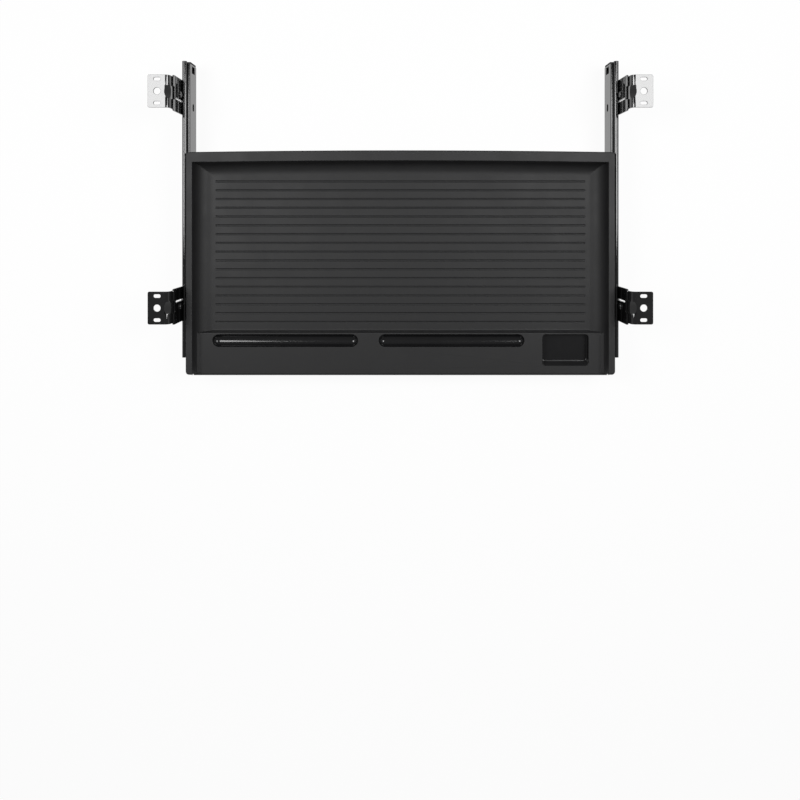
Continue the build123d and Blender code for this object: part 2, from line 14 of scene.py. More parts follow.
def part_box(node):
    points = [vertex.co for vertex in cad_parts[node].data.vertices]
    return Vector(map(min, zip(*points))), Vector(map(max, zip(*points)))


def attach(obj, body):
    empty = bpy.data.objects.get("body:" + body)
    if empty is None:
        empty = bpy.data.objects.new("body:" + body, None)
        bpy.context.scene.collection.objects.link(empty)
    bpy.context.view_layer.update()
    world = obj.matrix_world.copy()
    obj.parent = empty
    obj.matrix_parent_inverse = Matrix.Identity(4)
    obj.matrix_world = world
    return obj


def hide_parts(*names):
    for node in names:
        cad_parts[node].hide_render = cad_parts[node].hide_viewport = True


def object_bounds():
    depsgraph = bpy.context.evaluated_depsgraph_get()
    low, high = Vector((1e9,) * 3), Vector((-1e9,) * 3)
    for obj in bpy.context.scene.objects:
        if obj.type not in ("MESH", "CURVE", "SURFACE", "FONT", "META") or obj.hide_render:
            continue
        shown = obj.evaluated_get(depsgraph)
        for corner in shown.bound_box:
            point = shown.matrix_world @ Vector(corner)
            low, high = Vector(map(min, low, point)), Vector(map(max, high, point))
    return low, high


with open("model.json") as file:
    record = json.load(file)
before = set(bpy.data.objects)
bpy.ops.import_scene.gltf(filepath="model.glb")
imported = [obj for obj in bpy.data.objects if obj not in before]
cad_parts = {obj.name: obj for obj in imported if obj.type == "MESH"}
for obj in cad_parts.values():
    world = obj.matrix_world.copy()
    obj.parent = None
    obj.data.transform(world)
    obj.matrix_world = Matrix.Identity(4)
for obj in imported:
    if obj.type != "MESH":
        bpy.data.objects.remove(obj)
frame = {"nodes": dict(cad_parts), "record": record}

LOG = logging.getLogger("keyboard_tray")

CAD_LOW, CAD_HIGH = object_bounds()

MERGE = 2e-6            # points nearer than this are one, in metres
NEAR = 2e-5             # stations nearer than this count as the same
OVERRUN = 0.001         # how far a cutting tool stands past what it cuts
FLAT = 0.02             # faces within this angle are joined, in degrees
BEND_STEP = 9           # degrees per facet of a rolled bend
OUTER_SHEET = 0.0011    # sheet of the outer slide members
RIVET_STEP = 0.012      # from a hanger's middle to each of its rivets
SCREW_SHANK = 0.0017    # radius of the tray's screws

Socket = bpy.types.NodeSocket

BODY_OF = {node: body for body, nodes in frame["record"]["behaviour"]["bodies"].items() for node in nodes}
SLOT_OF = {part["node"]: part["material_slot"] for part in frame["record"]["subparts"]}


class Combine(Enum):
    """How one shape is worked with another."""

    ADD = "UNION"
    CUT = "DIFFERENCE"
    COMMON = "INTERSECT"


class Side(Enum):
    """Left or right half of the part, as the sign of X."""

    LEFT = -1
    RIGHT = 1


class End(Enum):
    """Front or rear pair of hangers, as the sign of Y."""

    FRONT = -1
    REAR = 1


@dataclass(frozen=True)
class Run:
    """One run of a sheet's centre line: straight to a point, or bent in degrees about it."""

    point: tuple[float, float]
    bend: float = 0.0


class Form:
    """A closed shape in the making, held as a bmesh in metres."""

    def __init__(self) -> None:
        """Start with nothing."""
        self.mesh = bmesh.new()

    @classmethod
    def block(cls, low: Sequence[float], high: Sequence[float]) -> "Form":
        """Make a box between its lowest and its highest corner."""
        form = cls()
        low, high = Vector(low), Vector(high)
        bmesh.ops.create_cube(form.mesh, size=1.0)
        bmesh.ops.scale(form.mesh, vec=high - low, verts=form.mesh.verts)
        bmesh.ops.translate(form.mesh, vec=(low + high) / 2, verts=form.mesh.verts)
        return form

    @classmethod
    def prism(cls, corners: Sequence[Sequence[float]], rise: Sequence[float]) -> "Form":
        """Extrude a flat outline, its corners given in order, along a straight line."""
        form = cls()
        face = form.mesh.faces.new([form.mesh.verts.new(corner) for corner in corners])
        grown = bmesh.ops.extrude_face_region(form.mesh, geom=[face])["geom"]
        moved = [item for item in grown if isinstance(item, BMVert)]
        bmesh.ops.translate(form.mesh, vec=Vector(rise), verts=moved)
        bmesh.ops.recalc_face_normals(form.mesh, faces=form.mesh.faces)
        return form

    @classmethod
    def drum(cls, start: Sequence[float], end: Sequence[float], radius: float, sides: int = 32) -> "Form":
        """Make a round bar between the middles of its two ends."""
        form = cls()
        start, end = Vector(start), Vector(end)
        axis = end - start
        turn = axis.to_track_quat("Z", "Y").to_matrix().to_4x4()
        bmesh.ops.create_cone(
            form.mesh, cap_ends=True, cap_tris=False, segments=sides, radius1=radius,
            radius2=radius, depth=axis.length, matrix=Matrix.Translation((start + end) / 2) @ turn)
        return form

    @classmethod
    def pin(cls, first: float, last: float, y: float, z: float, radius: float, sides: int = 20) -> "Form":
        """Make a round bar along X."""
        return cls.drum((first, y, z), (last, y, z), radius, sides)

    @classmethod
    def turned(cls, profile: Sequence[tuple[float, float]], origin: Sequence[float],
               axis: Sequence[float], steps: int = 32) -> "Form":
        """Turn an open profile about an axis.

        Args:
            profile: Pairs of radius and height, from axis to axis.
            origin: Where the profile's height zero lies.
            axis: Which way the height runs.
            steps: Faces round a full turn.

        Returns:
            The turned shape, closed at its poles.
        """
        form = cls()
        verts = [form.mesh.verts.new((radius, 0.0, height)) for radius, height in profile]
        edges = [form.mesh.edges.new(pair) for pair in zip(verts, verts[1:])]
        bmesh.ops.spin(
            form.mesh, geom=verts + edges, cent=(0, 0, 0), axis=(0, 0, 1), dvec=(0, 0, 0),
            angle=math.tau, steps=steps, use_merge=True, use_normal_flip=False, use_duplicate=False)
        bmesh.ops.remove_doubles(form.mesh, verts=form.mesh.verts, dist=MERGE)
        bmesh.ops.recalc_face_normals(form.mesh, faces=form.mesh.faces)
        turn = Vector(axis).to_track_quat("Z", "Y").to_matrix().to_4x4()
        return form.place(Matrix.Translation(Vector(origin)) @ turn)

    @classmethod
    def rolled(cls, start: tuple[float, float], runs: Sequence[Run], rear: float, length: float,
               thickness: float) -> "Form":
        """Roll a sheet of even thickness along Y.

        Args:
            start: X and Z where the section's centre line starts.
            runs: The centre line's straight and bent runs in order.
            rear: Y of its rear end.
            length: Its length towards the front.
            thickness: Thickness of the sheet.

        Returns:
            The closed section.
        """
        form = cls()
        mesh = form.mesh
        last = mesh.verts.new((start[0], rear, start[1]))
        for run in runs:
            spot = (run.point[0], rear, run.point[1])
            if run.bend:
                bent = bmesh.ops.spin(
                    mesh, geom=[last], cent=spot, axis=(0, 1, 0), dvec=(0, 0, 0),
                    angle=math.radians(run.bend), steps=max(4, round(abs(run.bend) / BEND_STEP)),
                    use_merge=False, use_normal_flip=False, use_duplicate=False)
                last = bent["geom_last"][0]
            else:
                last = bmesh.ops.extrude_vert_indiv(mesh, verts=[last])["verts"][0]
                last.co = spot
        grown = bmesh.ops.extrude_edge_only(mesh, edges=mesh.edges[:])["geom"]
        moved = [item for item in grown if isinstance(item, BMVert)]
        bmesh.ops.translate(mesh, vec=(0, -length, 0), verts=moved)
        bmesh.ops.remove_doubles(mesh, verts=mesh.verts, dist=MERGE)
        bmesh.ops.recalc_face_normals(mesh, faces=mesh.faces)

        def thicken(sheet: bpy.types.Object) -> None:
            """Give the sheet its thickness, half to each side."""
            wall = sheet.modifiers.new("wall", "SOLIDIFY")
            wall.thickness = thickness
            wall.offset = 0.0
            wall.use_even_offset = True

        return form.bake(thicken)

    def bake(self, prepare: Callable[[bpy.types.Object], None]) -> "Form":
        """Take the shape through the modifiers that a function puts on a temporary object."""
        base = self.as_object("work_base")
        prepare(base)
        bpy.context.view_layer.update()
        graph = bpy.context.evaluated_depsgraph_get()
        result = bpy.data.meshes.new_from_object(base.evaluated_get(graph))
        self.mesh.clear()
        self.mesh.from_mesh(result)
        drop(base)
        bpy.data.meshes.remove(result)
        return self.tidy()

    def place(self, matrix: Matrix) -> "Form":
        """Move every point by a matrix, and return the same shape."""
        bmesh.ops.transform(self.mesh, matrix=matrix, verts=self.mesh.verts)
        if matrix.determinant() < 0:
            bmesh.ops.reverse_faces(self.mesh, faces=self.mesh.faces)
        return self

    def join(self, other: "Form") -> None:
        """Take in another shape's mesh, without working out where they cross."""
        data = bpy.data.meshes.new("work_join")
        other.mesh.to_mesh(data)
        self.mesh.from_mesh(data)
        bpy.data.meshes.remove(data)

    def copy(self) -> "Form":
        """Return a second shape with the same mesh."""
        twin = Form()
        twin.mesh = self.mesh.copy()
        return twin

    def edges(self, test: Callable[[Vector, Vector], bool]) -> list[BMEdge]:
        """Find the edges whose two ends pass a test."""
        return [edge for edge in self.mesh.edges if test(edge.verts[0].co, edge.verts[1].co)]

    def soften(self, edges: Iterable[BMEdge], radius: float, steps: int) -> "Form":
        """Round edges to a radius, and return the same shape."""
        bmesh.ops.bevel(
            self.mesh, geom=list(edges), offset=radius, offset_type="OFFSET", segments=steps,
            profile=0.5, affect="EDGES", material=-1, clamp_overlap=False)
        return self

    def upright(self, radius: float, steps: int) -> "Form":
        """Round the edges that stand along Z, and return the same shape."""
        found = self.edges(lambda a, b: (a.xy - b.xy).length < NEAR and abs(a.z - b.z) > NEAR)
        return self.soften(found, radius, steps)

    def crosswise(self, radius: float, steps: int) -> "Form":
        """Round the edges that run along X, and return the same shape."""
        return self.soften(self.edges(lambda a, b: abs(a.x - b.x) > NEAR), radius, steps)

    def level(self, height: float, radius: float, steps: int) -> "Form":
        """Round the edges that lie at one height, and return the same shape."""
        found = self.edges(lambda a, b: abs(a.z - height) < NEAR and abs(b.z - height) < NEAR)
        return self.soften(found, radius, steps)

    def draft(self, height: float, inset: float) -> "Form":
        """Draw the points at one height in towards the middle, and return the same shape."""
        verts = [vert for vert in self.mesh.verts if abs(vert.co.z - height) < NEAR]
        low = Vector([min(vert.co[axis] for vert in verts) for axis in range(3)])
        high = Vector([max(vert.co[axis] for vert in verts) for axis in range(3)])
        middle, half = (low + high) / 2, (high - low) / 2
        for vert in verts:
            vert.co.x = middle.x + (vert.co.x - middle.x) * (half.x - inset) / half.x
            vert.co.y = middle.y + (vert.co.y - middle.y) * (half.y - inset) / half.y
        return self

    def tidy(self) -> "Form":
        """Merge doubles and join flat neighbours, and return the same shape."""
        mesh = self.mesh
        bmesh.ops.remove_doubles(mesh, verts=mesh.verts, dist=MERGE)
        bmesh.ops.dissolve_degenerate(mesh, dist=MERGE, edges=mesh.edges)
        bmesh.ops.dissolve_limit(mesh, angle_limit=math.radians(FLAT), verts=mesh.verts, edges=mesh.edges)
        return self

    def as_object(self, name: str) -> bpy.types.Object:
        """Return a linked mesh object of this shape."""
        data = bpy.data.meshes.new(name)
        self.mesh.to_mesh(data)
        made = bpy.data.objects.new(name, data)
        bpy.context.scene.collection.objects.link(made)
        return made

    def work(self, how: Combine, tools: Sequence["Form"]) -> "Form":
        """Add, cut or keep what is common with other shapes, one after another."""
        for tool in tools:
            other = tool.as_object("work_tool")

            def combine(base: bpy.types.Object) -> None:
                """Put the Boolean step for this tool on the base."""
                step = base.modifiers.new("step", "BOOLEAN")
                step.operation = how.value
                step.solver = "EXACT"
                step.object = other

            self.bake(combine)
            drop(other)
        return self


def drop(item: bpy.types.Object) -> None:
    """Remove a temporary object and its mesh."""
    data = item.data
    bpy.data.objects.remove(item)
    bpy.data.meshes.remove(data)


def copy_of_node(node: str) -> Form:
    """Return a merged copy of a CAD node's mesh."""
    form = Form()
    form.mesh.from_mesh(frame["nodes"][node].data)
    return form.tidy()


def middle_z(node: str) -> float:
    """Return the middle height of a CAD node."""
    low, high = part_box(node)
    return (low.z + high.z) / 2


def screw_places() -> tuple[float, float, float]:
    """Return Y of the three tray screws of one side."""
    low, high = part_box("tray_screws")
    head = (high.z - low.z) / 2
    return low.y + head, (low.y + high.y) / 2, high.y - head


class Wiring:
    """A node tree that is being wired, with short ways to add nodes and links."""

    def __init__(self, tree: bpy.types.NodeTree) -> None:
        """Start on an empty tree."""
        self.tree = tree
        tree.nodes.clear()

    def node(self, kind: str, **settings: object) -> bpy.types.Node:
        """Add a node; a setting that names an input sets it, and any other sets an attribute."""
        made = self.tree.nodes.new(kind)
        for name, value in settings.items():
            label = name.replace("_", " ")
            socket = next((item for item in made.inputs if item.name.lower() == label), None)
            if socket is not None and not hasattr(made, name):
                socket.default_value = value
            else:
                setattr(made, name, value)
        return made

    def link(self, source: Socket, target: Socket) -> None:
        """Join two sockets."""
        self.tree.links.new(source, target)

    def math(self, what: str, first: object, second: object) -> Socket:
        """Work out one number from two, each a socket or a value."""
        made = self.node("ShaderNodeMath", operation=what)
        for index, item in enumerate((first, second)):
            if isinstance(item, Socket):
                self.link(item, made.inputs[index])
            else:
                made.inputs[index].default_value = item
        return made.outputs[0]

    def ramp(self, source: Socket, low: float, high: float,
             out_low: float = 0.0, out_high: float = 1.0) -> Socket:
        """Map one range of numbers to another, clamped."""
        made = self.node("ShaderNodeMapRange")
        self.link(source, made.inputs["Value"])
        for name, value in (("From Min", low), ("From Max", high),
                            ("To Min", out_low), ("To Max", out_high)):
            made.inputs[name].default_value = value
        return made.outputs["Result"]

    def blend(self, amount: Socket, under: Socket | Sequence[float],
              over: Sequence[float]) -> Socket:
        """Lay a plain colour over a plain or a linked one by a mask."""
        made = self.node("ShaderNodeMix", data_type="RGBA")
        self.link(amount, made.inputs["Factor"])
        colours = [item for item in made.inputs if item.type == "RGBA"]
        if isinstance(under, Socket):
            self.link(under, colours[0])
        else:
            colours[0].default_value = (*under, 1.0)
        colours[1].default_value = (*over, 1.0)
        return next(item for item in made.outputs if item.type == "RGBA")

    def group(self, tree: bpy.types.NodeTree, **values: float) -> bpy.types.Node:
        """Add a node group with its own values."""
        made = self.tree.nodes.new("ShaderNodeGroup")
        made.node_tree = tree
        for name, value in values.items():
            made.inputs[name].default_value = value
        return made


class Group(Wiring):
    """A shared node group in the making, with number sockets only."""

    def __init__(self, name: str, inputs: dict[str, float], outputs: Sequence[str]) -> None:
        """Start the group with its named inputs, their defaults, and its outputs."""
        super().__init__(bpy.data.node_groups.new(name, "ShaderNodeTree"))
        sockets = self.tree.interface
        for label, value in inputs.items():
            socket = sockets.new_socket(label, in_out="INPUT", socket_type="NodeSocketFloat")
            socket.default_value = value
        for label in outputs:
            sockets.new_socket(label, in_out="OUTPUT", socket_type="NodeSocketFloat")
        self.given = self.node("NodeGroupInput").outputs
        self.place = self.node("ShaderNodeTexCoord").outputs["Object"]
        self.out = self.node("NodeGroupOutput").inputs

    def noise(self, scale: str, detail: float, roughness: float) -> Socket:
        """Return a noise over the piece, its scale taken from a named input."""
        made = self.node("ShaderNodeTexNoise", detail=detail, roughness=roughness)
        self.link(self.place, made.inputs["Vector"])
        self.link(self.given[scale], made.inputs["Scale"])
        return made.outputs["Fac"]

    def split(self, vector: Socket) -> bpy.types.NodeOutputs:
        """Return the three numbers of a vector."""
        made = self.node("ShaderNodeSeparateXYZ")
        self.link(vector, made.inputs[0])
        return made.outputs

    def finish(self, **results: Socket) -> bpy.types.NodeTree:
        """Link the outputs, and return the group's tree."""
        for label, socket in results.items():
            self.link(socket, self.out[label])
        return self.tree


def build_grain_group() -> bpy.types.NodeTree:
    """Build the height and slow mottle of a fine grain: eroded plastic or orange-peel coating."""
    group = Group("Fine grain", {"Scale": 1800.0, "Mottle Scale": 30.0}, ("Height", "Mottle"))
    slow = group.noise("Mottle Scale", 2.0, 0.5)
    return group.finish(Height=group.noise("Scale", 3.0, 0.6), Mottle=group.ramp(slow, 0.35, 0.65))


def build_edge_sheen_group() -> bpy.types.NodeTree:
    """Build the mask of outer edges, where the rounded normal leaves the true one; it paints an edge
    highlight, broken up like light rubbing.
    """
    group = Group("Rubbed edges", {"Radius": 0.0006, "Break Up": 260.0}, ("Mask",))
    rounded = group.node("ShaderNodeBevel", samples=4)
    group.link(group.given["Radius"], rounded.inputs["Radius"])
    match = group.node("ShaderNodeVectorMath", operation="DOT_PRODUCT")
    group.link(rounded.outputs["Normal"], match.inputs[0])
    group.link(group.node("ShaderNodeNewGeometry").outputs["True Normal"], match.inputs[1])
    near = group.ramp(match.outputs["Value"], 0.995, 0.85)
    broken = group.ramp(group.noise("Break Up", 4.0, 0.65), 0.38, 0.62)
    return group.finish(Mask=group.math("MULTIPLY", near, broken))


def build_dust_group() -> bpy.types.NodeTree:
    """Build the mask of a trace of dust on faces that look up."""
    group = Group("Settled dust", {"Scale": 90.0, "Amount": 0.1}, ("Mask",))
    normal = group.split(group.node("ShaderNodeNewGeometry").outputs["Normal"])
    specks = group.ramp(group.noise("Scale", 6.0, 0.7), 0.5, 0.75)
    laid = group.math("MULTIPLY", group.ramp(normal["Z"], 0.6, 1.0), specks)
    return group.finish(Mask=group.math("MULTIPLY", laid, group.given["Amount"]))


def build_recess_group() -> bpy.types.NodeTree:
    """Build the mask of sunk places: below a level, and between two stations along Y."""
    group = Group("Sunk places", {"Level": 0.0, "Front": 0.0, "Rear": 0.0}, ("Mask",))
    spot = group.split(group.place)
    below = group.math("LESS_THAN", spot["Z"], group.given["Level"])
    behind = group.math("GREATER_THAN", spot["Y"], group.given["Front"])
    before = group.math("LESS_THAN", spot["Y"], group.given["Rear"])
    return group.finish(Mask=group.math("MULTIPLY", below, group.math("MULTIPLY", behind, before)))


DUST_TONE = (0.16, 0.155, 0.15)


@dataclass(frozen=True)
class Finish:
    """One surface finish: two near tones, a lighter edge tone for a painted edge highlight with light
    rubbing, gloss and grain.
    """

    name: str
    tone: tuple[float, float, float]
    mottled_tone: tuple[float, float, float]
    # Lighter tone of the outer edges: a painted edge highlight, with a trace of rubbing.
    edge_sheen_tone: tuple[float, float, float]
    roughness: tuple[float, float]
    grain_scale: float
    grain_depth: float
    metallic: float = 0.0
    specular: float = 0.5
    coat: float = 0.0
    coat_roughness: float = 0.05
    edge_radius: float = 0.0005
    dust: float = 0.0

    def build(self, groups: dict[str, bpy.types.NodeTree]) -> bpy.types.Material:
        """Build the material from the shared node groups."""
        material = bpy.data.materials.new(self.name)
        material.use_nodes = True
        wiring = Wiring(material.node_tree)
        shader = wiring.node("ShaderNodeBsdfPrincipled")
        for label, value in (("Metallic", self.metallic), ("Specular IOR Level", self.specular),
                             ("Coat Weight", self.coat), ("Coat Roughness", self.coat_roughness)):
            shader.inputs[label].default_value = value
        grain = wiring.group(groups["grain"], Scale=self.grain_scale)
        edges = wiring.group(groups["edges"], Radius=self.edge_radius)
        dust = wiring.group(groups["dust"], Amount=self.dust)
        colour = wiring.blend(grain.outputs["Mottle"], self.tone, self.mottled_tone)
        # Outer edges are lightened here: a painted edge highlight, with a trace of rubbing.
        colour = wiring.blend(edges.outputs["Mask"], colour, self.edge_sheen_tone)
        colour = wiring.blend(dust.outputs["Mask"], colour, DUST_TONE)
        wiring.link(colour, shader.inputs["Base Color"])
        gloss = wiring.ramp(grain.outputs["Mottle"], 0.0, 1.0, *self.roughness)
        gloss, height = self.polish(wiring, groups, gloss, grain.outputs["Height"])
        wiring.link(gloss, shader.inputs["Roughness"])
        bump = wiring.node("ShaderNodeBump")
        bump.inputs["Distance"].default_value = self.grain_depth
        wiring.link(height, bump.inputs["Height"])
        wiring.link(bump.outputs["Normal"], shader.inputs["Normal"])
        out = wiring.node("ShaderNodeOutputMaterial")
        wiring.link(shader.outputs["BSDF"], out.inputs["Surface"])
        return material

    def polish(self, wiring: Wiring, groups: dict[str, bpy.types.NodeTree], gloss: Socket,
               height: Socket) -> tuple[Socket, Socket]:
        """Return roughness and grain height as they are, for a finish with no polished part."""
        return gloss, height


@dataclass(frozen=True)
class GrainedMoulding(Finish):
    """Spark-eroded plastic whose recesses in the ledge come from a polished part of the mould."""

    recess_level: float = 0.0
    recess_front: float = 0.0
    recess_rear: float = 0.0
    recess_roughness: float = 0.16

    def polish(self, wiring: Wiring, groups: dict[str, bpy.types.NodeTree], gloss: Socket,
               height: Socket) -> tuple[Socket, Socket]:
        """Make the recesses glossy and free of grain.

        Args:
            wiring: The material's tree.
            groups: The shared node groups by name.
            gloss: The grained roughness.
            height: The grain's height.

        Returns:
            Roughness and height with the recesses polished.
        """
        recess = wiring.group(groups["recess"], Level=self.recess_level, Front=self.recess_front,
                              Rear=self.recess_rear).outputs["Mask"]
        grained = wiring.math("SUBTRACT", 1.0, recess)
        kept = wiring.math("MULTIPLY", gloss, grained)
        smooth = wiring.math("MULTIPLY", recess, self.recess_roughness)
        return wiring.math("ADD", kept, smooth), wiring.math("MULTIPLY", height, grained)


# Each finish's edge tone is a painted edge highlight, with a trace of rubbing.
COATED_STEEL = Finish(
    name="gloss_black_steel", tone=(0.005, 0.005, 0.0053), mottled_tone=(0.0062, 0.0062, 0.0065),
    edge_sheen_tone=(0.02, 0.02, 0.021), roughness=(0.06, 0.1), grain_scale=420.0, grain_depth=0.0000015,
    specular=1.0, dust=0.004)
COATED_FASTENER = Finish(
    name="black_fastener_steel", tone=(0.008, 0.008, 0.0085), mottled_tone=(0.011, 0.011, 0.0115),
    edge_sheen_tone=(0.05, 0.05, 0.05), roughness=(0.2, 0.3), grain_scale=900.0, grain_depth=0.000004,
    specular=0.8, coat=0.6, coat_roughness=0.08, edge_radius=0.0003)
ZINC_STEEL = Finish(
    name="bright_zinc_steel", tone=(0.56, 0.57, 0.58), mottled_tone=(0.62, 0.62, 0.61),
    edge_sheen_tone=(0.72, 0.72, 0.72), roughness=(0.22, 0.34), grain_scale=700.0, grain_depth=0.000006,
    metallic=1.0, edge_radius=0.0003)
BALL_STEEL = Finish(
    name="polished_ball_steel", tone=(0.72, 0.72, 0.73), mottled_tone=(0.76, 0.76, 0.76),
    edge_sheen_tone=(0.8, 0.8, 0.8), roughness=(0.05, 0.09), grain_scale=1500.0, grain_depth=0.000001,
    metallic=1.0, edge_radius=0.0001)
BUMPER_RUBBER = Finish(
    name="soft_black_rubber", tone=(0.012, 0.012, 0.012), mottled_tone=(0.016, 0.016, 0.016),
    edge_sheen_tone=(0.025, 0.025, 0.025), roughness=(0.7, 0.8), grain_scale=1300.0, grain_depth=0.00004,
    specular=0.3, dust=0.02)


class Workshop:
    """Builds the finishes once and hands over finished pieces to the frame."""

    def __init__(self, tray_finish: Finish) -> None:
        """Build the shared groups and one material for each of the record's slots."""
        groups = {"grain": build_grain_group(), "edges": build_edge_sheen_group(),
                  "dust": build_dust_group(), "recess": build_recess_group()}
        finishes = {
            "tray_plastic": tray_finish, "black_steel": COATED_STEEL,
            "black_fastener": COATED_FASTENER, "zinc_steel": ZINC_STEEL,
            "ball_steel": BALL_STEEL, "bumper_rubber": BUMPER_RUBBER,
        }
        self.materials = {slot: finish.build(groups) for slot, finish in finishes.items()}

    def hand_over(self, form: Form, name: str, node: str, edge: float,
                  sharp: float = 30.0, cut_off: float = 30.0) -> bpy.types.Object:
        """Turn a shape into a finished piece that stands for a CAD node.

        Args:
            form: The shape, in the frame's place.
            name: The piece's name.
            node: The CAD node that it stands for.
            edge: Width of the small round on its sharp edges; zero for none.
            sharp: Angle in degrees from which an edge is shaded as sharp.
            cut_off: Angle in degrees from which an edge is rounded.

        Returns:
            The finished object.
        """
        limit = math.radians(sharp)
        for face in form.mesh.faces:
            face.smooth = True
        for item in form.mesh.edges:
            item.smooth = item.calc_face_angle(0.0) < limit
        piece = form.as_object(name)
        form.mesh.free()
        piece.data.materials.append(self.materials[SLOT_OF[node]])
        if edge > 0:
            rounding = piece.modifiers.new("small_rounds", "BEVEL")
            rounding.width = edge
            rounding.segments = 2
            rounding.limit_method = "ANGLE"
            rounding.angle_limit = math.radians(cut_off)
            rounding.use_clamp_overlap = False
        shading = piece.modifiers.new("even_shading", "WEIGHTED_NORMAL")
        shading.keep_sharp = True
        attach(piece, BODY_OF[node])
        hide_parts(node)
        LOG.info("%s: %d faces, rides on %s", name, len(piece.data.polygons), BODY_OF[node])
        return piece


@dataclass
class TrayMoulding:
    """The moulded tray: rim, bed, ledge, troughs, pocket, skirts, ribs and bosses."""

    rear_bow: float = 0.0021
    bow_steps: int = 24
    nose_proud: float = 0.0036
    lip: float = 0.003
    rim_thickness: float = 0.003
    side_rim: float = 0.0076
    rear_rim: float = 0.0116
    corner: float = 0.004
    rim_round: float = 0.0014
    wall: float = 0.003
    wall_draft: float = 5.0
    floor_depth: float = 0.022
    ledge_depth: float = 0.014
    ledge_run: float = 0.0477
    nose_radius: float = 0.003
    nose_corner: float = 0.0012
    side_cove: float = 0.017
    rear_cove: float = 0.0135
    riser_cove: float = 0.0025
    trench_cove: float = 0.0065
    ledge_edge: float = 0.0015
    groove_pitch: float = 0.01056
    groove_width: float = 0.0021
    groove_depth: float = 0.0007
    groove_side_margin: float = 0.0224
    groove_rear_margin: float = 0.0215
    groove_ledge_gap: float = 0.0114
    trough_width: float = 0.015
    trough_depth: float = 0.0074
    trough_ledge_gap: float = 0.0022
    trough_side_margin: float = 0.02045
    trough_gap: float = 0.0247
    trough_pocket_gap: float = 0.02145
    trough_wall: float = 0.0022
    pocket_length: float = 0.055
    pocket_width: float = 0.038
    pocket_depth: float = 0.0095
    pocket_side_margin: float = 0.0202
    pocket_corner: float = 0.004
    pocket_ramp: float = 0.004
    pocket_floor_round: float = 0.0012
    rib_thickness: float = 0.0018
    rib_depth: float = 0.006
    ribs_along: int = 7
    ribs_across: int = 3
    boss_width: float = 0.008
    boss_length: float = 0.009
    boss_below_screw: float = 0.0045
    screw_reach: float = 0.0119
    polish_drop: float = 0.0004
    polish_rear: float = 0.0019
    small_round: float = 0.0003

    def __post_init__(self) -> None:
        """Work out the stations from the frame and the sizes."""
        low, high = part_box("tray")
        self.outer_x = high.x
        self.side_x = high.x - self.lip
        self.rim_z = high.z
        self.skirt_z = low.z
        self.apron_y = low.y
        self.front_y = low.y + self.nose_proud
        self.rear_y = high.y - self.rear_bow
        self.rim_x = self.outer_x - self.side_rim
        self.rim_y = self.rear_y - self.rear_rim
        self.bed_z = self.rim_z - self.floor_depth
        self.ledge_z = self.rim_z - self.ledge_depth
        self.ledge_y = self.front_y + self.ledge_run
        self.slope = math.tan(math.radians(self.wall_draft))
        self.ledge_x = self.rim_x - self.ledge_depth * self.slope
        self.pocket_x = self.rim_x - self.pocket_side_margin - self.pocket_length / 2
        room = self.pocket_x - self.pocket_length / 2 - self.trough_pocket_gap
        room += self.rim_x - self.trough_side_margin
        self.trough_length = (room - self.trough_gap) / 2
        self.left_trough_x = self.trough_side_margin - self.rim_x + self.trough_length / 2
        self.right_trough_x = self.left_trough_x + self.trough_length + self.trough_gap
        self.trough_y = self.ledge_y - self.trough_ledge_gap - self.trough_width / 2
        self.screw_z = middle_z("tray_screws")

    def finish(self) -> GrainedMoulding:
        """Return the tray's own finish, grained but for the polished recesses in the ledge."""
        reach = self.pocket_width + self.trough_ledge_gap - self.pocket_ramp - self.pocket_floor_round
        return GrainedMoulding(
            name="moulded_black_plastic", tone=(0.0082, 0.0082, 0.0088),
            mottled_tone=(0.0094, 0.0094, 0.01), edge_sheen_tone=(0.02, 0.02, 0.021), roughness=(0.56, 0.62),
            grain_scale=2200.0, grain_depth=0.00004, edge_radius=0.0007, dust=0.012,
            recess_level=self.ledge_z - self.polish_drop,
            recess_front=self.ledge_y - reach, recess_rear=self.ledge_y - self.polish_rear)

    def bowed(self, half: float, front: float, rear: float, low: float, high: float) -> Form:
        """Make a block whose rear side bows out.

        Args:
            half: Half its width.
            front: Y of its front.
            rear: Y of its rear corners.
            low: Z of its bottom.
            high: Z of its top.

        Returns:
            The block, with sharp corners.
        """
        form = Form.block((-half, front, low), (half, rear, high))
        long_edges = form.edges(lambda a, b: min(a.y, b.y) > rear - NEAR and abs(a.z - b.z) < NEAR)
        bmesh.ops.subdivide_edges(form.mesh, edges=long_edges, cuts=self.bow_steps - 1, use_grid_fill=True)
        for vert in form.mesh.verts:
            if vert.co.y > rear - NEAR:
                vert.co.y += self.rear_bow * (1 - (vert.co.x / half) ** 2)
        return form

    def plate(self, half: float, rear: float, low: float, high: float) -> Form:
        """Make a bowed block behind the front, with its four upright corners rounded."""
        form = self.bowed(half, self.front_y, rear, low, high)
        found = form.edges(lambda a, b: (a.xy - b.xy).length < NEAR and abs(abs(a.x) - half) < NEAR)
        return form.soften(found, self.corner, 6)

    def shell(self) -> Form:
        """Make the skirts and the rim as one."""
        skirt = self.plate(self.side_x, self.rear_y - self.lip, self.skirt_z, self.rim_z - OVERRUN)
        rim = self.plate(self.outer_x, self.rear_y, self.rim_z - self.rim_thickness, self.rim_z)
        return skirt.work(Combine.ADD, [rim.level(self.rim_z, self.rim_round, 4)])

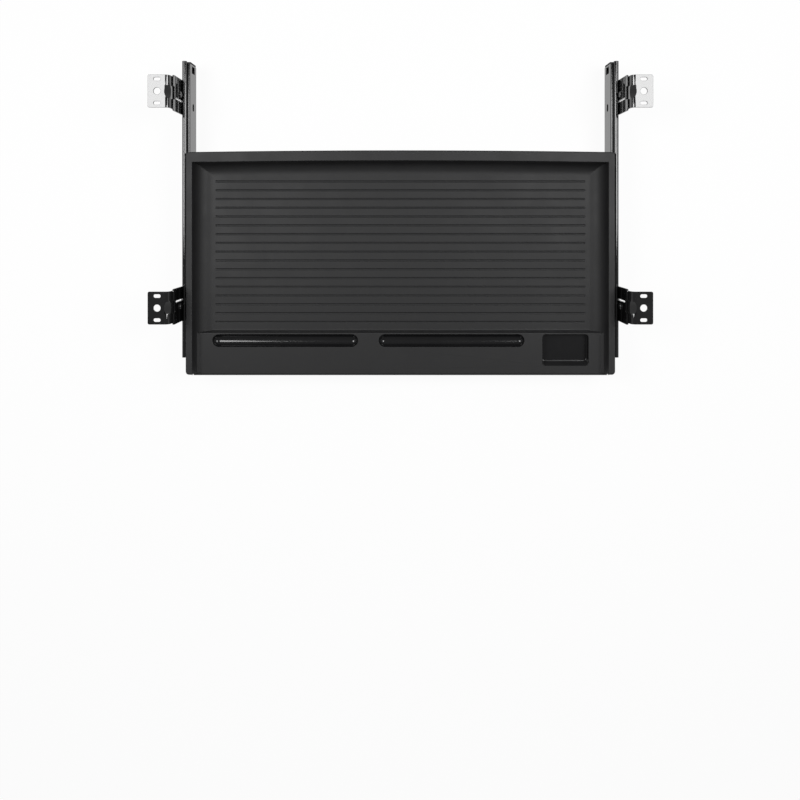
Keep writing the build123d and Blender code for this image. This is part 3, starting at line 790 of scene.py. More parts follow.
    def ledge(self) -> Form:
        """Make the ledge with its drafted riser, bullnosed front and a cove along each side wall."""
        half, reach = self.side_x - self.wall + OVERRUN / 2, self.trench_cove + 2 * OVERRUN
        rise = self.ledge_z + reach
        low_y = self.ledge_y + (self.ledge_z - self.skirt_z) * self.slope
        form = Form.prism([(-half, self.apron_y, self.skirt_z), (-half, low_y, self.skirt_z),
                           (-half, self.ledge_y - reach * self.slope, rise), (-half, self.apron_y, rise)],
                          (2 * half, 0, 0))
        form.soften(form.edges(lambda a, b: max(a.y, b.y) < self.apron_y + NEAR
                               and abs(a.z - b.z) > NEAR), self.nose_corner, 4)
        lean = reach * self.slope * 3
        start, length = self.apron_y - OVERRUN, self.ledge_y + 3 * OVERRUN - self.apron_y
        wide, top = self.ledge_x + lean, rise + OVERRUN
        space = Form.prism([(-wide, start, top), (-self.ledge_x, start, self.ledge_z),
                            (self.ledge_x, start, self.ledge_z), (wide, start, top)], (0, length, 0))
        feet = space.edges(lambda a, b: abs(a.y - b.y) > NEAR and max(a.z, b.z) < self.ledge_z + NEAR)
        space.soften(feet, self.trench_cove, 8)
        over = Form.block((-half - OVERRUN, self.apron_y - OVERRUN, self.ledge_z),
                          (half + OVERRUN, self.front_y + OVERRUN / 5, rise + OVERRUN))
        front = self.hollow_bar(half + OVERRUN, Vector((0, self.apron_y, self.ledge_z)), Vector((0, -1, 1)),
                                self.nose_radius, OVERRUN / 5)
        return form.work(Combine.CUT, [space, over, front])

    def hollow_bar(self, half: float, corner: Vector, way: Vector, radius: float, spare: float) -> Form:
        """Make a bar along X with one hollow side, to round an edge or to fill a corner.

        Args:
            half: Half its length.
            corner: Middle of the sharp edge that it rounds, or of the corner that it fills.
            way: Signs of Y and Z from the round's middle to that edge.
            radius: The round's radius.
            spare: How far the bar stands past the edge.

        Returns:
            The bar.
        """
        middle = corner - way * radius
        past = corner + way * spare
        low = Vector((-half, min(middle.y, past.y), min(middle.z, past.z)))
        high = Vector((half, max(middle.y, past.y), max(middle.z, past.z)))
        along = Vector((half + OVERRUN, 0, 0))
        bar = Form.drum(middle - along, middle + along, radius, 64)
        return Form.block(low, high).work(Combine.CUT, [bar])

    def bed_space(self) -> Form:
        """Make the space over bed and ledge: drafted walls, and wide coves that meet in a mitre."""
        top = self.rim_z + OVERRUN
        half, rear = self.rim_x + OVERRUN * self.slope, self.rim_y + OVERRUN * self.slope
        drawn = (top - self.bed_z) * self.slope
        start, front = rear + 5 * OVERRUN, self.apron_y - 5 * OVERRUN
        across = Form.prism([(-half, start, top), (drawn - half, start, self.bed_z),
                             (half - drawn, start, self.bed_z), (half, start, top)], (0, front - start, 0))
        feet = across.edges(lambda a, b: abs(a.y - b.y) > NEAR and max(a.z, b.z) < self.bed_z + NEAR)
        across.soften(feet, self.side_cove, 12)
        along = self.bowed(half + 3 * OVERRUN, front - OVERRUN, rear, self.bed_z, top + OVERRUN)
        along.draft(self.bed_z, drawn + OVERRUN * self.slope)
        foot = along.edges(lambda a, b: max(a.z, b.z) < self.bed_z + NEAR and min(a.y, b.y) > 0)
        along.soften(foot, self.rear_cove, 10)
        return across.work(Combine.COMMON, [along])

    def hollows(self) -> list[Form]:
        """Make the hollows under the bed, the ledge and the rear rim."""
        half = self.side_x - self.wall
        front = self.apron_y + self.wall
        rear = self.rim_y - self.floor_depth * self.slope
        under_bed = self.bed_z - self.wall
        under_ledge = self.ledge_z - self.wall
        inner = half - self.side_rim
        rim_under = self.rim_z - self.rim_thickness
        return [
            Form.block((-half, front, self.skirt_z - OVERRUN), (half, rear, under_bed)),
            Form.block((-inner, front, under_bed - OVERRUN),
                       (inner, self.ledge_y - self.wall, under_ledge)),
            Form.block((-self.rim_x, self.rim_y + self.wall, self.skirt_z - OVERRUN),
                       (self.rim_x, self.rear_y - self.lip - self.wall, rim_under)),
        ]

    def ribs(self) -> list[Form]:
        """Make the crossed ribs under the bed."""
        half = self.side_x - self.wall / 2
        rear = self.rear_y - self.lip - self.wall / 2
        front = self.apron_y + self.wall / 2
        top = self.bed_z - self.wall / 2
        low = self.bed_z - self.wall - self.rib_depth
        thin = self.rib_thickness / 2
        made = []
        for count in range(1, self.ribs_along + 1):
            x = half * (2 * count / (self.ribs_along + 1) - 1)
            made.append(Form.block((x - thin, front, low), (x + thin, rear, top)))
        for count in range(1, self.ribs_across + 1):
            y = rear + (front - rear) * count / (self.ribs_across + 1)
            made.append(Form.block((-half, y - thin, low + thin / 3), (half, y + thin, top + thin / 3)))
        return made

    def bosses(self) -> list[Form]:
        """Make the bosses for the slide screws."""
        made = []
        for side in Side:
            inner = side.value * (self.side_x - self.wall - self.boss_length)
            outer = side.value * (self.side_x - self.wall / 2)
            for y in screw_places():
                made.append(Form.block(
                    (min(inner, outer), y - self.boss_width / 2, self.screw_z - self.boss_below_screw),
                    (max(inner, outer), y + self.boss_width / 2, self.bed_z - self.wall / 2)))
        return made

    def trough(self, x: float) -> Form:
        """Make the space of one pen trough: a half-round channel with ball-shaped ends."""
        half, radius, steps = self.trough_length / 2, self.trough_width / 2, 12
        turns = [math.pi / 2 * step / steps for step in range(steps + 1)]
        near = [(radius * math.sin(turn), radius - half - radius * math.cos(turn)) for turn in turns]
        far = [(out, -along) for out, along in reversed(near)]
        origin = (x, self.trough_y, self.ledge_z - self.trough_depth + radius)
        return Form.turned(near + far, origin, (1, 0, 0), 64)

    def trough_wall_block(self, x: float) -> Form:
        """Make the wall block under the ledge that a trough lies in."""
        half = self.trough_length / 2 + self.trough_wall
        side = self.trough_width / 2 + self.trough_wall
        low = self.ledge_z - self.trough_depth - self.trough_wall
        block = Form.block((x - half, self.trough_y - side, low),
                           (x + half, self.trough_y + side, self.ledge_z - self.wall / 2))
        return block.upright(side / 2, 4)

    def pocket(self, grow: float) -> Form:
        """Make the square pocket with its ramped front, or its wall when grown on every side."""
        half = self.pocket_length / 2 + grow
        rear = self.ledge_y - self.trough_ledge_gap + grow
        front = self.ledge_y - self.trough_ledge_gap - self.pocket_width - grow
        low = self.ledge_z - self.pocket_depth - grow
        top = self.ledge_z - self.wall / 2 if grow else self.ledge_z + OVERRUN
        ramp = self.pocket_ramp * (top - low) / (self.ledge_z - low)
        side_face = [(self.pocket_x - half, rear, top), (self.pocket_x - half, front, top),
                     (self.pocket_x - half, front + ramp, low), (self.pocket_x - half, rear, low)]
        form = Form.prism(side_face, (2 * half, 0, 0))
        if grow:
            return form
        steep = form.edges(lambda a, b: abs(a.z - b.z) > NEAR)
        form.soften(steep, self.pocket_corner, 8)
        floor = form.edges(lambda a, b: max(a.z, b.z) < low + NEAR)
        return form.soften(floor, self.pocket_floor_round, 6)

    def grooves(self) -> Form:
        """Make all the shallow round-bottomed grooves of the bed as one tool."""
        half = self.rim_x - self.groove_side_margin
        first = self.ledge_y + self.groove_ledge_gap
        count = 1 + int((self.rim_y - self.groove_rear_margin - first) / self.groove_pitch)
        side, depth = self.groove_width / 2, self.groove_depth
        radius = (side ** 2 + depth ** 2) / (2 * depth)
        z = self.bed_z + radius - depth
        tool = Form()
        for number in range(count):
            y = first + number * self.groove_pitch
            tool.join(Form.pin(-half, half, y, z, radius, 24))
        return tool

    def screw_holes(self) -> list[Form]:
        """Make the holes of the slide screws in the side skirts and bosses."""
        depth = self.side_x - (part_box("tray_screws")[1].x - self.screw_reach)
        return [Form.pin(side.value * (self.side_x + OVERRUN), side.value * (self.side_x - depth), y,
                         self.screw_z, SCREW_SHANK, 16)
                for side in Side for y in screw_places()]

    def make(self) -> Form:
        """Make the whole moulding."""
        form = self.shell().work(Combine.CUT, [self.bed_space()])
        form.work(Combine.ADD, [self.ledge()])
        flat = self.ledge_x - self.trench_cove / 2
        edge = Vector((0, self.ledge_y, self.ledge_z))
        foot = Vector((0, self.ledge_y + (self.floor_depth - self.ledge_depth) * self.slope, self.bed_z))
        form.work(Combine.CUT, [self.hollow_bar(flat, edge, Vector((0, 1, 1)), self.ledge_edge, OVERRUN)])
        filler = self.hollow_bar(self.rim_x - self.side_cove, foot, Vector((0, -1, -1)),
                                 self.riser_cove, OVERRUN)
        form.work(Combine.ADD, [filler])
        form.work(Combine.CUT, self.hollows())
        middles = self.left_trough_x, self.right_trough_x
        walls = [self.trough_wall_block(x) for x in middles]
        form.work(Combine.ADD, self.ribs() + self.bosses() + walls + [self.pocket(self.trough_wall)])
        spaces = [self.trough(x) for x in middles]
        return form.work(Combine.CUT, spaces + [self.pocket(0.0), self.grooves()] + self.screw_holes())

    def build(self, shop: Workshop) -> None:
        """Make the tray and hand it over, its large flat faces split so that the rounds stay clean."""
        form = self.make()
        bmesh.ops.triangulate(form.mesh, faces=[face for face in form.mesh.faces if len(face.verts) > 4])
        shop.hand_over(form, "tray_moulding", "tray", self.small_round, sharp=25.0)


@dataclass
class DeskHanger:
    """One desk hanger: a bent plate with a pressed dart, desk holes and height slots."""

    thickness: float = 0.0015
    bend: float = 0.004
    corner: float = 0.002
    hole_reach: float = 0.0125
    hole_radius: float = 0.004
    desk_slot_length: float = 0.008
    desk_slot_width: float = 0.004
    desk_slot_offset: float = 0.0135
    dart_radius: float = 0.017
    dart_reach: float = 0.006
    clamp_offset: float = 0.002
    clamp_drop: float = 0.036
    clamp_slot_width: float = 0.0043
    clamp_travel: float = 0.018
    spare_slot_offset: float = 0.005
    spare_slot_width: float = 0.002
    spare_slot_top: float = 0.019
    spare_slot_length: float = 0.031
    small_round: float = 0.00025

    def __post_init__(self) -> None:
        """Read the plate's extent off the right rear hanger."""
        low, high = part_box("rear_right_hanger")
        self.web_x = low.x
        self.flange_x = high.x
        self.top_z = high.z
        self.low_z = low.z
        self.rear_y = high.y
        self.front_y = low.y
        self.mid_y = (low.y + high.y) / 2
        self.hole_x = self.web_x + self.thickness + self.hole_reach

    def plate(self) -> Form:
        """Make the bent plate with rounded corners."""
        t = self.thickness
        corners = [(self.web_x, self.rear_y, self.low_z), (self.web_x, self.rear_y, self.top_z),
                   (self.flange_x, self.rear_y, self.top_z), (self.flange_x, self.rear_y, self.top_z - t),
                   (self.web_x + t, self.rear_y, self.top_z - t), (self.web_x + t, self.rear_y, self.low_z)]
        form = Form.prism(corners, (0, self.front_y - self.rear_y, 0))
        for x, z, radius in ((self.web_x, self.top_z, self.bend + t),
                             (self.web_x + t, self.top_z - t, self.bend)):
            spot = Vector((x, z))
            form.soften(form.edges(lambda a, b: (Vector((a.x, a.z)) - spot).length < NEAR
                                   and (Vector((b.x, b.z)) - spot).length < NEAR), radius, 8)
        outer = form.edges(lambda a, b: min(a.x, b.x) > self.flange_x - NEAR and abs(a.z - b.z) > NEAR)
        form.soften(outer, self.corner, 6)
        lower = form.edges(lambda a, b: max(a.z, b.z) < self.low_z + NEAR and abs(a.x - b.x) > NEAR)
        return form.soften(lower, self.corner, 6)

    def dart(self, radius: float, length: float) -> Form:
        """Make a round bar at 45 degrees across the bend, concentric with the dart."""
        shift = self.dart_radius / math.sqrt(2)
        middle = Vector((self.web_x + self.dart_reach / 2 - shift, self.mid_y,
                         self.top_z + shift - self.dart_reach / 2))
        along = Vector((1, 0, 1)).normalized() * length / 2
        return Form.drum(middle - along, middle + along, radius, 96)

    def dart_shell(self) -> Form:
        """Make the pressed-in sheet of the dart, inside the corner of web and flange."""
        size, length = 3 * self.dart_reach, 4 * self.dart_reach
        corner = Form.block((self.web_x, self.mid_y - size, self.top_z - size),
                            (self.web_x + size, self.mid_y + size, self.top_z))
        bend = corner.edges(lambda a, b: max(a.x, b.x) < self.web_x + NEAR
                            and min(a.z, b.z) > self.top_z - NEAR)
        corner.soften(bend, self.bend + self.thickness, 8)
        sheet = self.dart(self.dart_radius + self.thickness, length)
        sheet.work(Combine.CUT, [self.dart(self.dart_radius, length + 4 * OVERRUN)])
        return sheet.work(Combine.COMMON, [corner])

    def slot(self, x: float, y: float) -> Form:
        """Make the tool of one desk slot, long in X."""
        half, side = self.desk_slot_length / 2, self.desk_slot_width / 2
        tool = Form.block((x - half, y - side, self.top_z - self.thickness - OVERRUN),
                          (x + half, y + side, self.top_z + OVERRUN))
        return tool.upright(side - NEAR, 8)

    def web_slot(self, width: float, length: float, y: float, z: float) -> Form:
        """Make the tool of a slot through the web, long in Z, with round ends."""
        tool = Form.block((self.web_x - 2 * self.thickness, y - width / 2, z - length / 2),
                          (self.web_x + 2 * self.thickness, y + width / 2, z + length / 2))
        return tool.crosswise(width / 2 - NEAR, 8)

    def spare_slot(self) -> Form:
        """Make the tool of the narrow empty slot beside the clamp screw."""
        middle = -self.spare_slot_top - self.spare_slot_length / 2
        return self.web_slot(self.spare_slot_width, self.spare_slot_length,
                             self.mid_y - self.spare_slot_offset, middle)

    def make(self) -> Form:
        """Make the right rear hanger."""
        opening = self.dart(self.dart_radius + self.thickness / 2, 4 * self.dart_reach)
        form = self.plate().work(Combine.CUT, [opening])
        form.work(Combine.ADD, [self.dart_shell()])
        hole = Form.drum((self.hole_x, self.mid_y, self.top_z - self.thickness - OVERRUN),
                         (self.hole_x, self.mid_y, self.top_z + OVERRUN), self.hole_radius, 40)
        slots = [self.slot(self.hole_x, self.mid_y + step * self.desk_slot_offset) for step in (-1, 1)]
        clamp = self.web_slot(self.clamp_slot_width, self.clamp_travel + self.clamp_slot_width,
                              self.mid_y + self.clamp_offset, -self.clamp_drop)
        return form.work(Combine.CUT, [hole, *slots, clamp, self.spare_slot()])


@dataclass
class Carrier:
    """One plate between hanger and slide, with a notched top edge."""

    corner: float = 0.003
    notch_width: float = 0.015
    notch_depth: float = 0.005
    notch_corner: float = 0.002
    screw_hole: float = 0.00215
    rivet_hole: float = 0.00165
    small_round: float = 0.0002

    def make(self, hanger: DeskHanger) -> Form:
        """Make the right rear carrier, with the holes and slots that go on through the hanger."""
        low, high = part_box("rear_right_carrier")
        form = Form.block(low, high).crosswise(self.corner, 6)
        half = self.notch_width / 2
        left, right = low.x - OVERRUN, high.x + OVERRUN
        notch = Form.block((left, hanger.mid_y - half, high.z - self.notch_depth),
                           (right, hanger.mid_y + half, high.z + OVERRUN))
        bottom = notch.edges(lambda a, b: abs(a.x - b.x) > NEAR and max(a.z, b.z) < high.z - OVERRUN)
        notch.soften(bottom, self.notch_corner, 5)
        screw_y = hanger.mid_y + hanger.clamp_offset
        tools = [notch, Form.pin(left, right, screw_y, -hanger.clamp_drop, self.screw_hole, 24)]
        tools += [Form.pin(left, right, hanger.mid_y + step * RIVET_STEP, middle_z("carrier_rivets"),
                           self.rivet_hole) for step in (-1, 1)]
        return form.work(Combine.CUT, tools + [hanger.spare_slot()])


class HangerSet:
    """The four hangers, the four carriers and what clamps and rivets them."""

    def __init__(self) -> None:
        """Take the sizes of one hanger and one carrier."""
        self.hanger = DeskHanger()
        self.carrier = Carrier()

    def build(self, shop: Workshop) -> None:
        """Make every piece and hand it over."""
        plates = {"hanger": (self.hanger.make(), self.hanger.small_round),
                  "carrier": (self.carrier.make(self.hanger), self.carrier.small_round)}
        fasteners = Fasteners(self.hanger)
        for end in End:
            for side in Side:
                place = Matrix.Diagonal((side.value, end.value, 1, 1))
                corner = f"{end.name.lower()}_{side.name.lower()}"
                for kind, (form, edge) in plates.items():
                    node = f"{corner}_{kind}"
                    shop.hand_over(form.copy().place(place), f"{node}_plate", node, edge, cut_off=60.0)
                fasteners.build_corner(shop, corner, place)


@dataclass
class Fasteners:
    """Screws, washers, nuts and rivets, turned and cut as the real ones are."""

    hanger: DeskHanger
    screw_radius: float = 0.002
    head_radius: float = 0.004
    head_height: float = 0.0022
    washer_radius: float = 0.0045
    washer_thickness: float = 0.0008
    nut_flats: float = 0.007
    nut_thickness: float = 0.0032
    nut_round: float = 0.0001
    nut_clearance: float = 0.00005
    washer_clearance: float = 0.00015
    washer_seat_gap: float = 0.00002
    tail: float = 0.001
    dome_steps: int = 8
    rivet_radius: float = 0.0016
    rivet_head_radius: float = 0.003
    rivet_head_height: float = 0.0011
    recess_reach: float = 0.0021
    recess_width: float = 0.0007
    recess_depth: float = 0.0012

    def domed(self, radius: float, height: float, shank: float, length: float, origin: Vector,
              axis: Vector) -> Form:
        """Turn a domed head with its shank.

        Args:
            radius: Radius of the head.
            height: Height of the head over its seat.
            shank: Radius of the shank.
            length: Length of the shank below the seat.
            origin: Middle of the seat.
            axis: Which way the head looks.

        Returns:
            The turned piece.
        """
        rim = height * 0.25
        profile = [(0.0, -length), (shank * 0.85, -length), (shank, -length + shank * 0.15), (shank, 0.0),
                   (radius * 0.97, 0.0), (radius, rim * 0.4)]
        for step in range(self.dome_steps + 1):
            turn = math.pi / 2 * step / self.dome_steps
            profile.append((radius * math.cos(turn), rim + (height - rim) * math.sin(turn)))
        profile[-1] = (0.0, height)
        return Form.turned(profile, origin, axis, 40)

    def recess(self, origin: Vector, axis: Vector, height: float, size: float = 1.0) -> list[Form]:
        """Make the two bars that cut a cross recess into a head.

        Args:
            origin: Middle of the head's seat.
            axis: Which way the head looks.
            height: Height of the head.
            size: Scale of the cross against the clamp screw's.

        Returns:
            Two tapered bars.
        """
        turn = axis.to_track_quat("Z", "Y").to_matrix().to_4x4()
        reach, width = self.recess_reach * size, self.recess_width * size
        bars = []
        for quarter in range(2):
            bar = Form.block((-reach, -width / 2, height - self.recess_depth * size),
                             (reach, width / 2, height + OVERRUN))
            bar.draft(height - self.recess_depth * size, width * 0.2)
            spin = Matrix.Rotation(quarter * math.pi / 2, 4, "Z")
            bars.append(bar.place(Matrix.Translation(origin) @ turn @ spin))
        return bars

    def nut(self, x: float, y: float, z: float) -> Form:
        """Make a hexagon nut with turned corners and a bore, its seat at x."""
        across = self.nut_flats / math.sqrt(3)
        body = Form.pin(x, x + self.nut_thickness, y, z, across, 6)
        cut = self.nut_flats / 2
        edge = (across - cut) * 0.55
        profile = [(0.0, 0.0), (cut, 0.0), (across, edge), (across, self.nut_thickness - edge),
                   (cut, self.nut_thickness), (0.0, self.nut_thickness)]
        body.work(Combine.COMMON, [Form.turned(profile, (x, y, z), (1, 0, 0), 40)])
        bore = Form.pin(x - OVERRUN, x + self.nut_thickness + OVERRUN, y, z,
                        self.screw_radius + self.nut_clearance, 28)
        return body.work(Combine.CUT, [bore])

    def washer(self, x: float, y: float, z: float) -> Form:
        """Make the plain washer, its seat at x, a hair clear of the plate that it slides on."""
        inner, outer = self.screw_radius + self.washer_clearance, self.washer_radius
        seat, t = self.washer_seat_gap, self.washer_thickness
        cut = t * 0.2
        profile = [(inner, seat), (outer - cut, seat), (outer, cut), (outer, t - cut), (outer - cut, t),
                   (inner, t), (inner, seat)]
        return Form.turned(profile, (x, y, z), (1, 0, 0), 40)

    def build_corner(self, shop: Workshop, corner: str, place: Matrix) -> None:
        """Make one corner's screw, washer, nut and two rivets, and hand them over."""
        hanger = self.hanger
        carrier_low, carrier_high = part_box("rear_right_carrier")
        y, z = hanger.mid_y + hanger.clamp_offset, -hanger.clamp_drop
        outside = hanger.web_x + hanger.thickness
        reach = self.washer_thickness + self.nut_thickness + self.tail
        seat = Vector((carrier_low.x, y, z))
        inward = Vector((-1, 0, 0))
        screw = self.domed(self.head_radius, self.head_height, self.screw_radius,
                           outside + reach - carrier_low.x, seat, inward)
        screw.work(Combine.CUT, self.recess(seat, inward, self.head_height))
        made = {"screw": (screw, 0.0), "washer": (self.washer(outside, y, z), 0.0),
                "nut": (self.nut(outside + self.washer_thickness, y, z), self.nut_round)}
        for kind, (form, edge) in made.items():
            shop.hand_over(form.place(place), f"{corner}_clamp_{kind}", f"clamp_{kind}s", edge)
        web = carrier_low.x - OUTER_SHEET
        for number, step in enumerate((-1, 1), start=1):
            spot = Vector((carrier_high.x, hanger.mid_y + step * RIVET_STEP, middle_z("carrier_rivets")))
            rivet = self.domed(self.rivet_head_radius, self.rivet_head_height, self.rivet_radius,
                               carrier_high.x - web, spot, Vector((1, 0, 0)))
            shop.hand_over(rivet.place(place), f"{corner}_carrier_rivet_{number}", "carrier_rivets", 0.0)


@dataclass
class SlidePair:
    """Both ball-bearing slides: members, cages, balls, bumpers and the tray's screws."""

    outer_sheet: float = OUTER_SHEET
    inner_sheet: float = 0.001
    ball_radius: float = 0.00175
    race_clearance: float = 0.00005
    race_angle: float = 40.0
    inner_bend: float = 0.0017
    inner_tip: float = 0.0005
    shoulder_lean: float = 16.0
    ball_pitch: float = 0.013
    balls_per_row: int = 6
    window_length: float = 0.0084
    window_height: float = 0.012
    window_margin: float = 0.0018
    tab_height: float = 0.01
    cage_gap: float = 0.0003
    cage_sheet: float = 0.0005
    slot_length: float = 0.009
    slot_height: float = 0.006
    slot_forward: float = 0.0507
    stop_margin: float = 0.0012
    stop_length: float = 0.002
    stop_height: float = 0.008
    stud_hole: float = 0.00205
    stud_back: float = 0.005
    rivet_hole: float = 0.00165
    screw_hole: float = 0.00185
    screw_head: float = 0.0032
    screw_head_height: float = 0.0019
    screw_length: float = 0.01
    cross_size: float = 0.8
    edge_round: float = 0.00012
    cage_round: float = 0.00006
    bumper_round: float = 0.0003

    def __post_init__(self) -> None:
        """Read the right slide's extent off the frame."""
        low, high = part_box("right_outer_slide")
        race = self.ball_radius + self.race_clearance
        self.back_x = high.x
        self.middle_z = (low.z + high.z) / 2
        self.ball_x = high.x - self.outer_sheet - race
        self.ball_rise = (high.z - low.z) / 2 - self.outer_sheet - race
        self.front_y, self.rear_y = low.y, high.y
        self.outer_race = race + self.outer_sheet / 2
        self.inner_race = race + self.inner_sheet / 2
        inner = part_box("right_inner_slide")
        self.face_x = inner[0].x
        self.inner_rear_y = inner[1].y

    def outer_member(self, hanger: DeskHanger) -> Form:
        """Roll the right outer member and cut its holes, the rivets' after the hanger."""
        high, low = self.middle_z + self.ball_rise, self.middle_z - self.ball_rise
        web_x = self.back_x - self.outer_sheet / 2
        form = Form.rolled((self.ball_x - self.outer_race, low), [
            Run((self.ball_x, low), -180.0), Run((web_x, high)), Run((self.ball_x, high), -180.0),
        ], self.rear_y, self.rear_y - self.front_y, self.outer_sheet)
        inside = self.back_x - self.outer_sheet
        left, right = inside - OVERRUN, self.back_x + OVERRUN
        tools = [Form.pin(left, right, end.value * (hanger.mid_y + step * RIVET_STEP),
                          middle_z("carrier_rivets"), self.rivet_hole) for end in End for step in (-1, 1)]
        tools.append(Form.pin(left, right, self.rear_y - self.stud_back, self.middle_z, self.stud_hole))
        form.work(Combine.CUT, tools)
        half = self.stop_height / 2
        first = self.front_y + self.stop_margin
        stop = Form.block((inside - self.cage_gap - self.cage_sheet, first, self.middle_z - half),
                          (inside + self.outer_sheet / 2, first + self.stop_length, self.middle_z + half))
        return form.work(Combine.ADD, [stop])

    def inner_member(self) -> Form:
        """Roll the right inner member and cut its window, slot and screw holes."""
        high, low = self.middle_z + self.ball_rise, self.middle_z - self.ball_rise
        reach, bend = self.inner_race, self.inner_bend
        step_x = self.ball_x - reach * math.cos(math.radians(self.race_angle))
        step = reach * math.sin(math.radians(self.race_angle))
        web_x = self.face_x + self.inner_sheet / 2
        groove, lean = 90.0 - self.race_angle, math.radians(self.shoulder_lean)
        turn_x, turn_z = bend * (1 - math.sin(lean)), bend * math.cos(lean)
        shoulder = step - (step_x - web_x - turn_x) * math.tan(lean)
        foot = Vector((web_x + bend, low + shoulder + turn_z))
        neck = Vector((web_x + bend, high - shoulder - turn_z))
        form = Form.rolled((self.ball_x + self.inner_tip, low + reach), [
            Run((self.ball_x, low + reach)), Run((self.ball_x, low), -groove),
            Run((web_x + turn_x, low + shoulder)), Run(tuple(foot), 90.0 - self.shoulder_lean),
            Run((web_x, neck.y)), Run(tuple(neck), 90.0 - self.shoulder_lean),
            Run((step_x, high - step)), Run((self.ball_x, high), -groove),
            Run((self.ball_x + self.inner_tip, high - reach)),
        ], self.inner_rear_y, self.inner_rear_y - self.front_y, self.inner_sheet)
        outside, inside = self.face_x - OVERRUN, self.face_x + self.inner_sheet + OVERRUN
        rear = self.inner_rear_y - self.window_margin
        front = rear - self.window_length
        half = self.window_height / 2
        window = Form.block((outside, front, self.middle_z - half), (inside, rear, self.middle_z + half))
        window.crosswise(self.inner_sheet / 2, 3)
        slot_y = self.inner_rear_y - self.slot_forward
        slot = Form.block((outside, slot_y - self.slot_length / 2, self.middle_z - self.slot_height / 2),
                          (inside, slot_y + self.slot_length / 2, self.middle_z + self.slot_height / 2))
        slot.crosswise(self.slot_height / 2 - NEAR, 8)
        holes = [Form.pin(outside, inside, y, middle_z("tray_screws"), self.screw_hole)
                 for y in screw_places()]
        form.work(Combine.CUT, [window, slot, *holes])
        half = self.tab_height / 2
        tab = Form.block((self.face_x, front - self.inner_sheet, self.middle_z - half),
                         (self.back_x - self.outer_sheet - self.cage_gap, front, self.middle_z + half))
        foot = tab.edges(lambda a, b: max(a.x, b.x) < self.face_x + NEAR
                         and max(a.y, b.y) < front - NEAR and abs(a.z - b.z) > NEAR)
        tab.soften(foot, self.inner_sheet * 0.8, 5)
        return form.work(Combine.ADD, [tab])

    def build_members(self, shop: Workshop, hanger: DeskHanger) -> None:
        """Hand over both rolled members of each slide, and softened cages and bumpers."""
        members = {"outer_slide": self.outer_member(hanger), "inner_slide": self.inner_member()}
        rounds = {"ball_cage": self.cage_round, "rear_bumper": self.bumper_round}
        for side in Side:
            name = side.name.lower()
            place = Matrix.Diagonal((side.value, 1, 1, 1))
            for part, form in members.items():
                shop.hand_over(form.copy().place(place), f"{name}_{part}_member", f"{name}_{part}",
                               self.edge_round, cut_off=50.0)
            for part, edge in rounds.items():
                node = f"{name}_{part}"
                shop.hand_over(copy_of_node(node), f"{node}_piece", node, edge)

    def build_balls(self, shop: Workshop) -> None:
        """Make the true round balls in both cages."""
        for side in Side:
            node = f"{side.name.lower()}_balls"
            low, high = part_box(node)
            cage_low, cage_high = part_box(f"{side.name.lower()}_ball_cage")
            middle_y = (cage_low.y + cage_high.y) / 2
            x = (low.x + high.x) / 2
            rise = (cage_high.z - cage_low.z) / 2 - self.cage_sheet / 2
            form = Form()
            for row in (-1, 1):
                for number in range(self.balls_per_row):
                    y = middle_y + (number - (self.balls_per_row - 1) / 2) * self.ball_pitch
                    spot = Matrix.Translation((x, y, middle_z(node) + row * rise))
                    bmesh.ops.create_icosphere(form.mesh, subdivisions=3, radius=self.ball_radius,
                                               matrix=spot)
            shop.hand_over(form, f"{node}_round", node, 0.0, sharp=80.0)

    def build_screws(self, shop: Workshop, fasteners: Fasteners) -> None:
        """Make the pan-headed screws that hold the inner members to the tray."""
        head_height, axis = self.screw_head_height, Vector((1, 0, 0))
        seat_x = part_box("tray_screws")[1].x - head_height
        for side in Side:
            for number, y in enumerate(screw_places(), start=1):
                seat = Vector((seat_x, y, middle_z("tray_screws")))
                screw = fasteners.domed(self.screw_head, head_height, SCREW_SHANK, self.screw_length,
                                        seat, axis)
                screw.work(Combine.CUT, fasteners.recess(seat, axis, head_height, self.cross_size))
                screw.place(Matrix.Diagonal((side.value, 1, 1, 1)))
                shop.hand_over(screw, f"{side.name.lower()}_tray_screw_{number}", "tray_screws", 0.0)

    def build(self, shop: Workshop, fasteners: Fasteners) -> None:
        """Make every piece of both slides and hand it over."""
        self.build_members(shop, fasteners.hanger)
        self.build_balls(shop)
        self.build_screws(shop, fasteners)


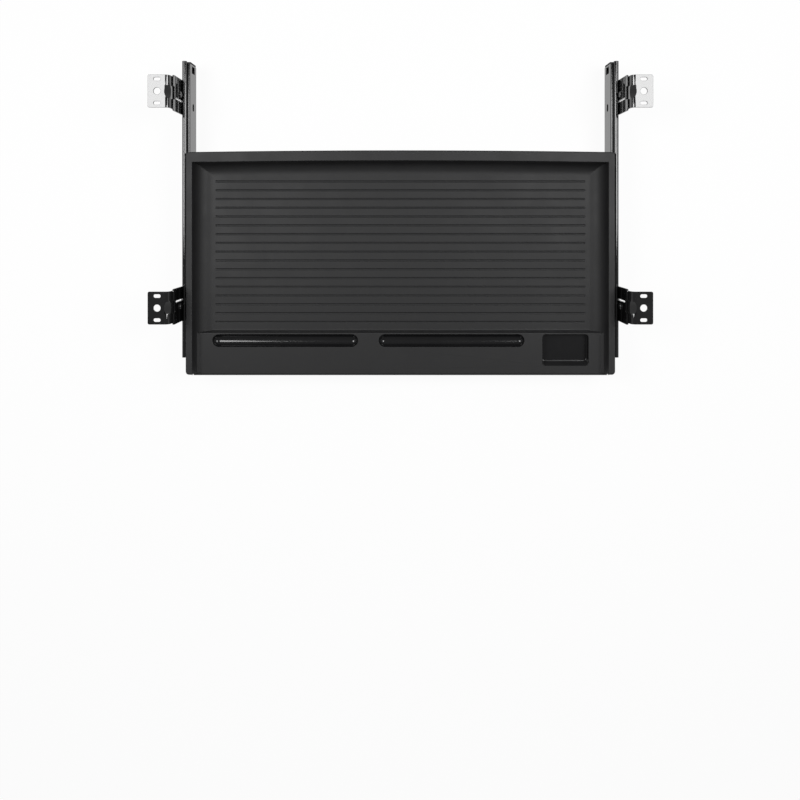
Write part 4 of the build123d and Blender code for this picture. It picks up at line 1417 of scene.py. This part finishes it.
@dataclass
class Studio:
    """White floor, soft lights and the camera of the photograph."""

    image_size: float = 800.0
    focal_pixels: float = 738.0
    axis_pixel: tuple[float, float] = (400.4, 220.0)
    camera_place: tuple[float, float, float] = (0.0, -0.023, 0.829)
    sensor: float = 36.0
    floor_clearance: float = 0.0105
    floor_size: float = 6.0
    floor_thickness: float = 0.02
    floor_paint: tuple[float, float, float, float] = (0.95, 0.95, 0.95, 1.0)
    floor_glow: float = 0.93
    wall_band: tuple[float, float] = (0.05, 0.6)
    wall_level: float = 0.45
    ceiling_level: float = 0.16
    box_place: tuple[float, float, float] = (0.56, 0.14, 0.83)
    box_size: tuple[float, float] = (0.44, 0.44)
    box_radiance: float = 9.6

    def build_camera(self) -> None:
        """Set up the camera straight above the tray, with the photograph's framing."""
        data = bpy.data.cameras.new("camera")
        data.sensor_width = self.sensor
        data.lens = self.focal_pixels / self.image_size * self.sensor
        half = self.image_size / 2
        data.shift_x = (half - self.axis_pixel[0]) / self.image_size
        data.shift_y = (self.axis_pixel[1] - half) / self.image_size
        data.clip_start = 0.01
        camera = bpy.data.objects.new("camera", data)
        camera.location = self.camera_place
        bpy.context.scene.collection.objects.link(camera)
        bpy.context.scene.camera = camera

    def build_floor(self) -> None:
        """Lay the white floor, just under the tray's lowest setting."""
        height = CAD_LOW.z - self.floor_clearance
        form = Form.block((-self.floor_size, -self.floor_size, height - self.floor_thickness),
                          (self.floor_size, self.floor_size, height))
        floor = form.as_object("floor")
        material = bpy.data.materials.new("white_floor")
        material.use_nodes = True
        wiring = Wiring(material.node_tree)
        paint = wiring.node("ShaderNodeBsdfPrincipled")
        for label, value in (("Base Color", self.floor_paint), ("Roughness", 1.0),
                             ("Specular IOR Level", 0.0)):
            paint.inputs[label].default_value = value
        glow = wiring.node("ShaderNodeEmission")
        path = wiring.node("ShaderNodeLightPath")
        seen = wiring.math("MAXIMUM", path.outputs["Is Camera Ray"], path.outputs["Is Glossy Ray"])
        seen = wiring.math("MAXIMUM", seen, path.outputs["Is Transmission Ray"])
        mix = wiring.node("ShaderNodeMixShader")
        wiring.link(wiring.math("MULTIPLY", seen, self.floor_glow), mix.inputs["Fac"])
        wiring.link(paint.outputs["BSDF"], mix.inputs[1])
        wiring.link(glow.outputs["Emission"], mix.inputs[2])
        out = wiring.node("ShaderNodeOutputMaterial")
        wiring.link(mix.outputs["Shader"], out.inputs["Surface"])
        floor.data.materials.append(material)

    def build_world(self) -> None:
        """Give soft light from pale walls all round, under a dark ceiling."""
        world = bpy.data.worlds.new("studio")
        bpy.context.scene.world = world
        world.use_nodes = True
        wiring = Wiring(world.node_tree)
        way = wiring.node("ShaderNodeTexCoord")
        split = wiring.node("ShaderNodeSeparateXYZ")
        wiring.link(way.outputs["Generated"], split.inputs[0])
        sky = wiring.node("ShaderNodeBackground")
        sky.inputs["Color"].default_value = (1.0, 1.0, 1.0, 1.0)
        level = wiring.ramp(split.outputs["Z"], *self.wall_band, self.wall_level, self.ceiling_level)
        wiring.link(level, sky.inputs["Strength"])
        out = wiring.node("ShaderNodeOutputWorld")
        wiring.link(sky.outputs["Background"], out.inputs["Surface"])

    def build_cards(self) -> None:
        """Hang the two soft boxes, one over each rear corner of the tray."""
        for side in Side:
            data = bpy.data.lights.new(f"{side.name.lower()}_soft_box", "AREA")
            data.shape = "RECTANGLE"
            data.size, data.size_y = self.box_size
            data.energy = self.box_radiance * math.pi * data.size * data.size_y
            box = bpy.data.objects.new(data.name, data)
            place = Vector((side.value * self.box_place[0], self.box_place[1], self.box_place[2]))
            turn = (-place).to_track_quat("-Z", "Y").to_matrix().to_4x4()
            box.matrix_world = Matrix.Translation(place) @ turn
            box.visible_camera = False
            bpy.context.scene.collection.objects.link(box)

    def build(self) -> None:
        """Set up the camera, the floor, the world and the lights."""
        self.build_camera()
        self.build_floor()
        self.build_world()
        self.build_cards()
        bpy.context.scene.view_settings.view_transform = "Standard"


def main() -> None:
    """Build the dressed keyboard tray and its studio."""
    logging.basicConfig(level=logging.INFO, format="%(message)s")
    tray = TrayMoulding()
    shop = Workshop(tray.finish())
    Studio().build()
    tray.build(shop)
    hangers = HangerSet()
    hangers.build(shop)
    SlidePair().build(shop, Fasteners(hangers.hanger))


if __name__ == "__main__":
    main()
